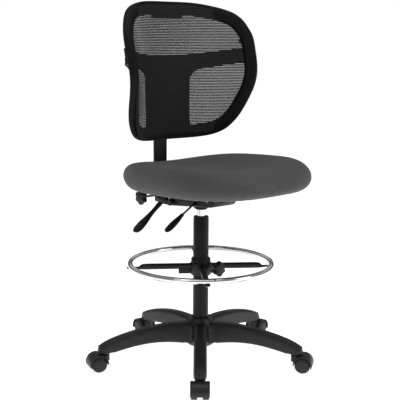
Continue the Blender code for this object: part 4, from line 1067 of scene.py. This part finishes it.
def back_rim(inset, per_span):
    """The back's whole outline in (x, z), moved inward along its surface."""
    half = list(BACK_OUTLINE)
    whole = catmull([*half, *[(-x, z) for x, z in half[-2:0:-1]]], per_span, closed=True)
    rim = []
    for i, point in enumerate(whole):
        tangent = (whole[(i + 1) % len(whole)] - whole[i - 1]).normalized()
        inward = Vector((tangent.y, -tangent.x))
        lean = 2.0 * back_wrap(point.y) * point.x * inward.x
        rim.append(point + inward * (inset / math.hypot(1.0, lean)))
    return rim


def laid(outline, near, far, spacing, radius=0.0, segments=2):
    """A flat outline of (x, z), cut fine and laid on the back between two depths, as a solid.
    Its UVs are metres along the surface, the same on both faces."""
    flat = bmesh.new()
    flat.faces.new([flat.verts.new((x, 0.0, z)) for x, z in outline])
    low = [min(p[k] for p in outline) for k in (0, 1)]
    high = [max(p[k] for p in outline) for k in (0, 1)]
    for k, axis in ((0, 0), (1, 2)):
        count = math.floor((high[k] - low[k]) / spacing)
        for i in range(1, count + 1):
            spot, normal = Vector((0.0, 0.0, 0.0)), Vector((0.0, 0.0, 0.0))
            spot[axis] = low[k] + (high[k] - low[k]) * i / (count + 1)
            normal[axis] = 1.0
            whole = [*flat.verts, *flat.edges, *flat.faces]
            bmesh.ops.bisect_plane(flat, geom=whole, dist=1e-6, plane_co=spot, plane_no=normal)
    made = bmesh.ops.extrude_face_region(flat, geom=list(flat.faces), use_keep_orig=True)
    for element in made["geom"]:
        if isinstance(element, bmesh.types.BMVert):
            element.co.y = far - near
    bmesh.ops.recalc_face_normals(flat, faces=flat.faces)
    if radius:
        sharp = [e for e in flat.edges if e.is_manifold and e.calc_face_angle(0.0) > math.radians(60.0)]
        bmesh.ops.bevel(flat, geom=sharp, offset=radius, offset_type="OFFSET", segments=segments, profile=0.5,
                        affect="EDGES", clamp_overlap=True)
    layer = flat.loops.layers.uv.new("cloth")
    for face in flat.faces:
        for corner in face.loops:
            x, z = corner.vert.co.x, corner.vert.co.z
            wrap = 2.0 * back_wrap(z)
            corner[layer].uv = (0.5 * (x * math.hypot(1.0, wrap * x) + math.asinh(wrap * x) / wrap), z)
    for vert in flat.verts:
        vert.co = on_back(vert.co.x, vert.co.z, near + vert.co.y)
    shape = Shape()
    shape.mesh.free()
    shape.mesh = flat
    return shape


def make_back_frame(plastic):
    """The moulded band with a rolled lip and a groove for the net, and the tab at its top."""
    path = back_rim(BAND, 14)
    section = []
    for u, v in superellipse(BAND, 0.0078, 3.4, 40):
        # A groove near the inner edge on the sitter's side holds the net's welt.
        groove = 0.0016 * math.exp(-(((u - 0.0125) / 0.0022) ** 2)) if v < 0.0 else 0.0
        section.append((u, v + groove, max(0.0, -v / 0.0078)))
    band = Shape()
    sections = []
    for i, point in enumerate(path):
        before, after = path[i - 1], path[(i + 1) % len(path)]
        tangent = on_back(after.x, after.y) - on_back(before.x, before.y)
        rearward = (on_back(point.x, point.y, 0.01) - on_back(point.x, point.y)).normalized()
        across = tangent.cross(rearward).normalized()
        centre = on_back(point.x, point.y)
        # The band is deeper towards the sitter at the sides, where it stiffens the wings.
        side = max(0.0, min(1.0, (abs(point.x) - 0.13) / 0.09))
        crown = 0.012 * side * side * (3.0 - 2.0 * side)
        sections.append([centre + across * u + rearward * (v - crown * front) for u, v, front in section])
    band.loft(sections, ring=True)
    tab = [(-0.067, 1.150), (-0.060, 1.1265), (-0.056, 1.1235), (-0.050, 1.1225)]
    tab += [(-x, z) for x, z in tab[::-1]]
    plate = laid(tab, -0.0072, 0.0060, 0.012, 0.0022, 3)
    holder = plate.make()
    band.mesh.from_mesh(holder)
    for x, z in ((0.0, 0.7535), (-0.2325, 1.052), (0.2325, 1.052)):
        face = on_back(x, z, 0.0072)
        turn = (on_back(x, z, 0.01) - on_back(x, z)).to_track_quat("Z", "Y").to_matrix().to_4x4()
        band.turned([(0.0085, -0.001), (0.0085, 0.0008), (0.0072, 0.0016), (0.0045, 0.0016),
            (0.0042, -0.0004)], 32,
                    place=Matrix.Translation(face) @ turn)
    piece("back_band", band.make(), plastic, replaces="back_frame", sharp=45.0)


def make_back_net(net, plastic):
    rim = back_rim(0.5 * BAND, 8)
    sheet = laid(rim, -0.0108, -0.0096, 0.012).make()
    obj = piece("back_net", sheet, net, replaces="back_mesh", sharp=0.0)

    welt = Shape()
    path = back_rim(1.62 * BAND, 14)
    points = [on_back(p.x, p.y, -0.0078) for p in path]
    sections = []
    for i, point in enumerate(points):
        tangent = (points[(i + 1) % len(points)] - points[i - 1]).normalized()
        rearward = (on_back(path[i].x, path[i].y, 0.01) - on_back(path[i].x, path[i].y)).normalized()
        across = tangent.cross(rearward).normalized()
        sections.append([point + across * 0.0018 * math.cos(a) + rearward * 0.0012 * math.sin(a) for a in
                         (math.radians(45.0 * k) for k in range(8))])
    welt.loft(sections, ring=True)
    piece("back_net_welt", welt.make(), plastic, body="back", like="back_frame", sharp=0.0)


def make_panel(plastic, steel):
    corner = arc((0.086 + 0.044, 0.918), 0.044, 100.0, 180.0, 12)
    half = [(0.0, 1.004), (0.060, 1.0055), (0.115, 1.011), (0.180, 1.0205), (0.243, 1.032), (0.2455, 0.986),
        (0.180, 0.973), (0.150, 0.9655)]
    half += [*corner, (0.086, 0.860), (0.086, 0.800), (0.0865, 0.786)]
    half += arc((0.1065, 0.786), 0.020, 190.0, 250.0, 5) + [(0.1020, 0.7600), (0.0, 0.754)]
    outline = [*half, *[(-x, z) for x, z in half[-2:0:-1]]]
    panel = laid(outline, 0.0092, 0.0145, 0.014, 0.0014, 2)
    holder = panel.make()
    detail = Shape()
    detail.mesh.from_mesh(holder)
    for x in (-0.052, -0.026, 0.026, 0.052):
        rib = [on_back(x, z, 0.0146) for z in [0.790 + 0.012 * k for k in range(15)]]
        if abs(x) > 0.045:
            detail.tube(rib, 0.0012, 8)
    for z in (0.986, 0.998):
        for side in (-1.0, 1.0):
            rib = [on_back(side * x, z + 0.0010 * (x / 0.05) ** 2,
                0.0146) for x in [0.055 + 0.012 * k for k in range(13)]]
            detail.tube(rib, 0.0010, 8)
    piece("lumbar_panel", detail.make(), plastic, replaces="back_panel", sharp=40.0)
    screws = Shape()
    spots = [(-0.215, 1.006), (0.215, 1.006), (-0.070, 0.800), (0.070, 0.800), (-0.070, 0.965), (0.070, 0.965)]
    for x, z in spots:
        turn = (on_back(x, z, 0.01) - on_back(x, z)).to_track_quat("Z", "Y").to_matrix().to_4x4()
        screws.screw_head(Matrix.Translation(on_back(x, z, 0.0144)) @ turn, 0.0058, 0.0028)
    piece("back_screws", screws.make(), steel, body="back", like="tilt_pin", sharp=30.0)


def make_bracket(plastic, steel):
    solid = Shape()
    solid.block((-0.045, 0.1916, 0.845), (0.045, 0.238, 0.999), 0.007, 4)
    cuts = Shape()
    cuts.block((-0.0254, 0.182, 0.83), (0.0254, 0.2169, 1.02), 0.0006, 1)
    for z in (0.870, 0.900, 0.930, 0.960):
        cuts.block((-0.030, 0.2355, z), (0.030, 0.2420, z + 0.0035), 0.0012, 2)
    carved = carve(solid, cuts)
    detail = Shape()
    detail.mesh.from_mesh(carved)
    boss = [(0.0044, 0.0440), (0.0120, 0.0440), (0.0115, 0.0500), (0.0105, 0.0520), (0.0044, 0.0520)]
    sideways = at(0.0, BAR_POST_Y, 0.984) @ Matrix.Rotation(-QUARTER, 4, "Y")
    detail.turned(boss, 40, ring=True, place=sideways)
    piece("back_sleeve", detail.make(), plastic, replaces="back_bracket", sharp=38.0)
    piece("height_knob_grip", knob_mesh(sideways @ at(0.0, 0.0, 0.112)), plastic, replaces="height_clamp_knob")
    screws = Shape()
    for x in (-0.036, 0.036):
        for z in (0.862, 0.9855):
            screws.screw_head(at(x, 0.2378, z) @ Matrix.Rotation(-QUARTER, 4, "X"), 0.0056, 0.0026)
    piece("sleeve_screws", screws.make(), steel, body="back", like="tilt_pin", sharp=30.0)


# ---- stage, light and camera --------------------------------------------------


def make_stage():
    """A white sweep: a plain pale floor that fades into a white backdrop."""
    floor = bpy.data.meshes.new("floor")
    size = 14.0
    floor.from_pydata([(-size, -size, 0.0), (size, -size, 0.0), (size, size, 0.0), (-size, size, 0.0)], [],
        [(0, 1, 2, 3)])
    n = Nodes("pale_floor")
    mottle = n.noise(3.0, 3.0, 0.5)
    base = n.mix(mottle, (0.90, 0.90, 0.90), (0.93, 0.93, 0.93))
    floor.materials.append(n.finish(base, Specular_IOR_Level=0.1, Emission_Color=(1.0, 1.0, 1.0, 1.0),
        Emission_Strength=0.82))
    obj = bpy.data.objects.new("floor", floor)
    bpy.context.scene.collection.objects.link(obj)


def make_world():
    """Soft studio surroundings: white to the camera, and for light a bright ceiling over a dim horizon."""
    world = bpy.data.worlds.new("studio")
    bpy.context.scene.world = world
    world.use_nodes = True
    tree = world.node_tree
    tree.nodes.clear()
    where = tree.nodes.new("ShaderNodeTexCoord")
    split = tree.nodes.new("ShaderNodeSeparateXYZ")
    ramp = tree.nodes.new("ShaderNodeValToRGB")
    stops = ((0.0, 0.30), (0.48, 0.30), (0.52, 0.05), (0.60, 0.06), (0.65, 0.45), (0.74, 0.40),
        (0.80, 0.12), (1.0, 0.40))
    spread = tree.nodes.new("ShaderNodeMapRange")
    spread.inputs["From Min"].default_value = -1.0
    elements = ramp.color_ramp.elements
    while len(elements) < len(stops):
        elements.new(0.5)
    for element, (place, value) in zip(elements, stops):
        element.position = place
        element.color = (value, value, value, 1.0)
    around = tree.nodes.new("ShaderNodeBackground")
    backdrop = tree.nodes.new("ShaderNodeBackground")
    backdrop.inputs["Color"].default_value = (1.0, 1.0, 1.0, 1.0)
    ray = tree.nodes.new("ShaderNodeLightPath")
    mix = tree.nodes.new("ShaderNodeMixShader")
    out = tree.nodes.new("ShaderNodeOutputWorld")
    for start, end in (
        (where.outputs["Generated"], split.inputs[0]), (split.outputs["Z"], spread.inputs["Value"]),
        (spread.outputs["Result"], ramp.inputs["Fac"]), (ramp.outputs["Color"], around.inputs["Color"]),
        (ray.outputs["Is Camera Ray"], mix.inputs[0]), (around.outputs[0], mix.inputs[1]),
        (backdrop.outputs[0], mix.inputs[2]), (mix.outputs[0], out.inputs["Surface"]),
    ):
        tree.links.new(start, end)


def softbox(name, place, target, width, height, power):
    light = bpy.data.lights.new(name, "AREA")
    light.shape = "RECTANGLE"
    light.size, light.size_y, light.energy = width, height, power
    obj = bpy.data.objects.new(name, light)
    bpy.context.scene.collection.objects.link(obj)
    obj.location = AXIS + Vector(place)
    aim = AXIS + Vector(target) - obj.location
    obj.rotation_euler = aim.to_track_quat("-Z", "Y").to_euler()


def make_camera():
    """A long lens at the height of the back, looking at the chair's left front and down a little."""
    view, distance, height = math.radians(41.0), 2.9187, 1.0672
    pitch, roll = math.radians(10.035), math.radians(-0.36)
    data = bpy.data.cameras.new("camera")
    data.sensor_width = 36.0
    data.lens = 83.45
    data.shift_x = -0.0030
    data.dof.use_dof = False
    camera = bpy.data.objects.new("camera", data)
    bpy.context.scene.collection.objects.link(camera)
    camera.location = AXIS + Vector((-distance * math.sin(view), -distance * math.cos(view), height))
    turn = Matrix.Rotation(-view, 3, "Z") @ Matrix.Rotation(QUARTER - pitch, 3,
        "X") @ Matrix.Rotation(-roll, 3, "Z")
    camera.rotation_euler = turn.to_euler()
    bpy.context.scene.camera = camera


def main():
    nylon = moulded("base_nylon", (0.010, 0.010, 0.0105), 0.44, 0.9, 0.00035, 0.5, 0.4)
    wheel_nylon = moulded("caster_nylon", (0.010, 0.010, 0.0105), 0.42, 0.7, 0.00025, 0.6, 0.4)
    plastic = moulded("black_plastic", (0.005, 0.005, 0.0055), 0.42, 0.8, 0.0003, 0.4, 0.3)
    back_plastic = moulded("back_plastic", (0.002, 0.002, 0.0022), 0.55, 0.8, 0.0003, 0.2, 0.15)
    paint = painted("black_paint", (0.003, 0.003, 0.0032), 0.32, 0.22)
    chrome = plated("bright_chrome", (0.78, 0.78, 0.79), 0.06, 0.08)
    zinc = plated("zinc_steel", (0.45, 0.45, 0.46), 0.28, 0.16, (1.0, 1.0, 8.0))
    fabric = woven("charcoal_weave", (0.066, 0.066, 0.069), 0.0016)
    net = netted("black_net", (0.006, 0.006, 0.0065))
    felt = felted("black_felt", (0.012, 0.012, 0.013))
    wood = plywood("bare_plywood")

    make_base(nylon)
    make_column(paint, plastic, chrome)
    make_casters(wheel_nylon, zinc)
    make_foot_ring(chrome, plastic, zinc)
    make_housing(paint, zinc)
    make_levers(paint, plastic)
    make_carrier(paint, plastic)
    make_seat(fabric, felt, wood, zinc)
    make_back_frame(back_plastic)
    make_back_net(net, back_plastic)
    make_panel(back_plastic, zinc)
    make_bracket(plastic, zinc)
    for node in ("thrust_bearing", "rod_clip", "release_button", "back_lever_pin", "tilt_pin"):
        finish_node(node, zinc)
    for node in ("foot_ring_clamp_stud", "depth_clamp_stud", "height_clamp_stud"):
        finish_node(node, zinc)
    finish_node("piston_rod", chrome)

    make_stage()
    make_world()
    softbox("top", (-0.4, -0.5, 2.9), (0.0, 0.0, 0.6), 2.2, 2.2, 26.0)
    softbox("key", (-2.6, -0.9, 1.9), (0.0, 0.0, 0.6), 1.2, 1.6, 5.0)
    softbox("fill", (1.4, -2.6, 1.5), (0.0, 0.0, 0.6), 1.4, 1.8, 15.0)
    make_camera()
    bpy.context.scene.view_settings.view_transform = "Standard"


main()
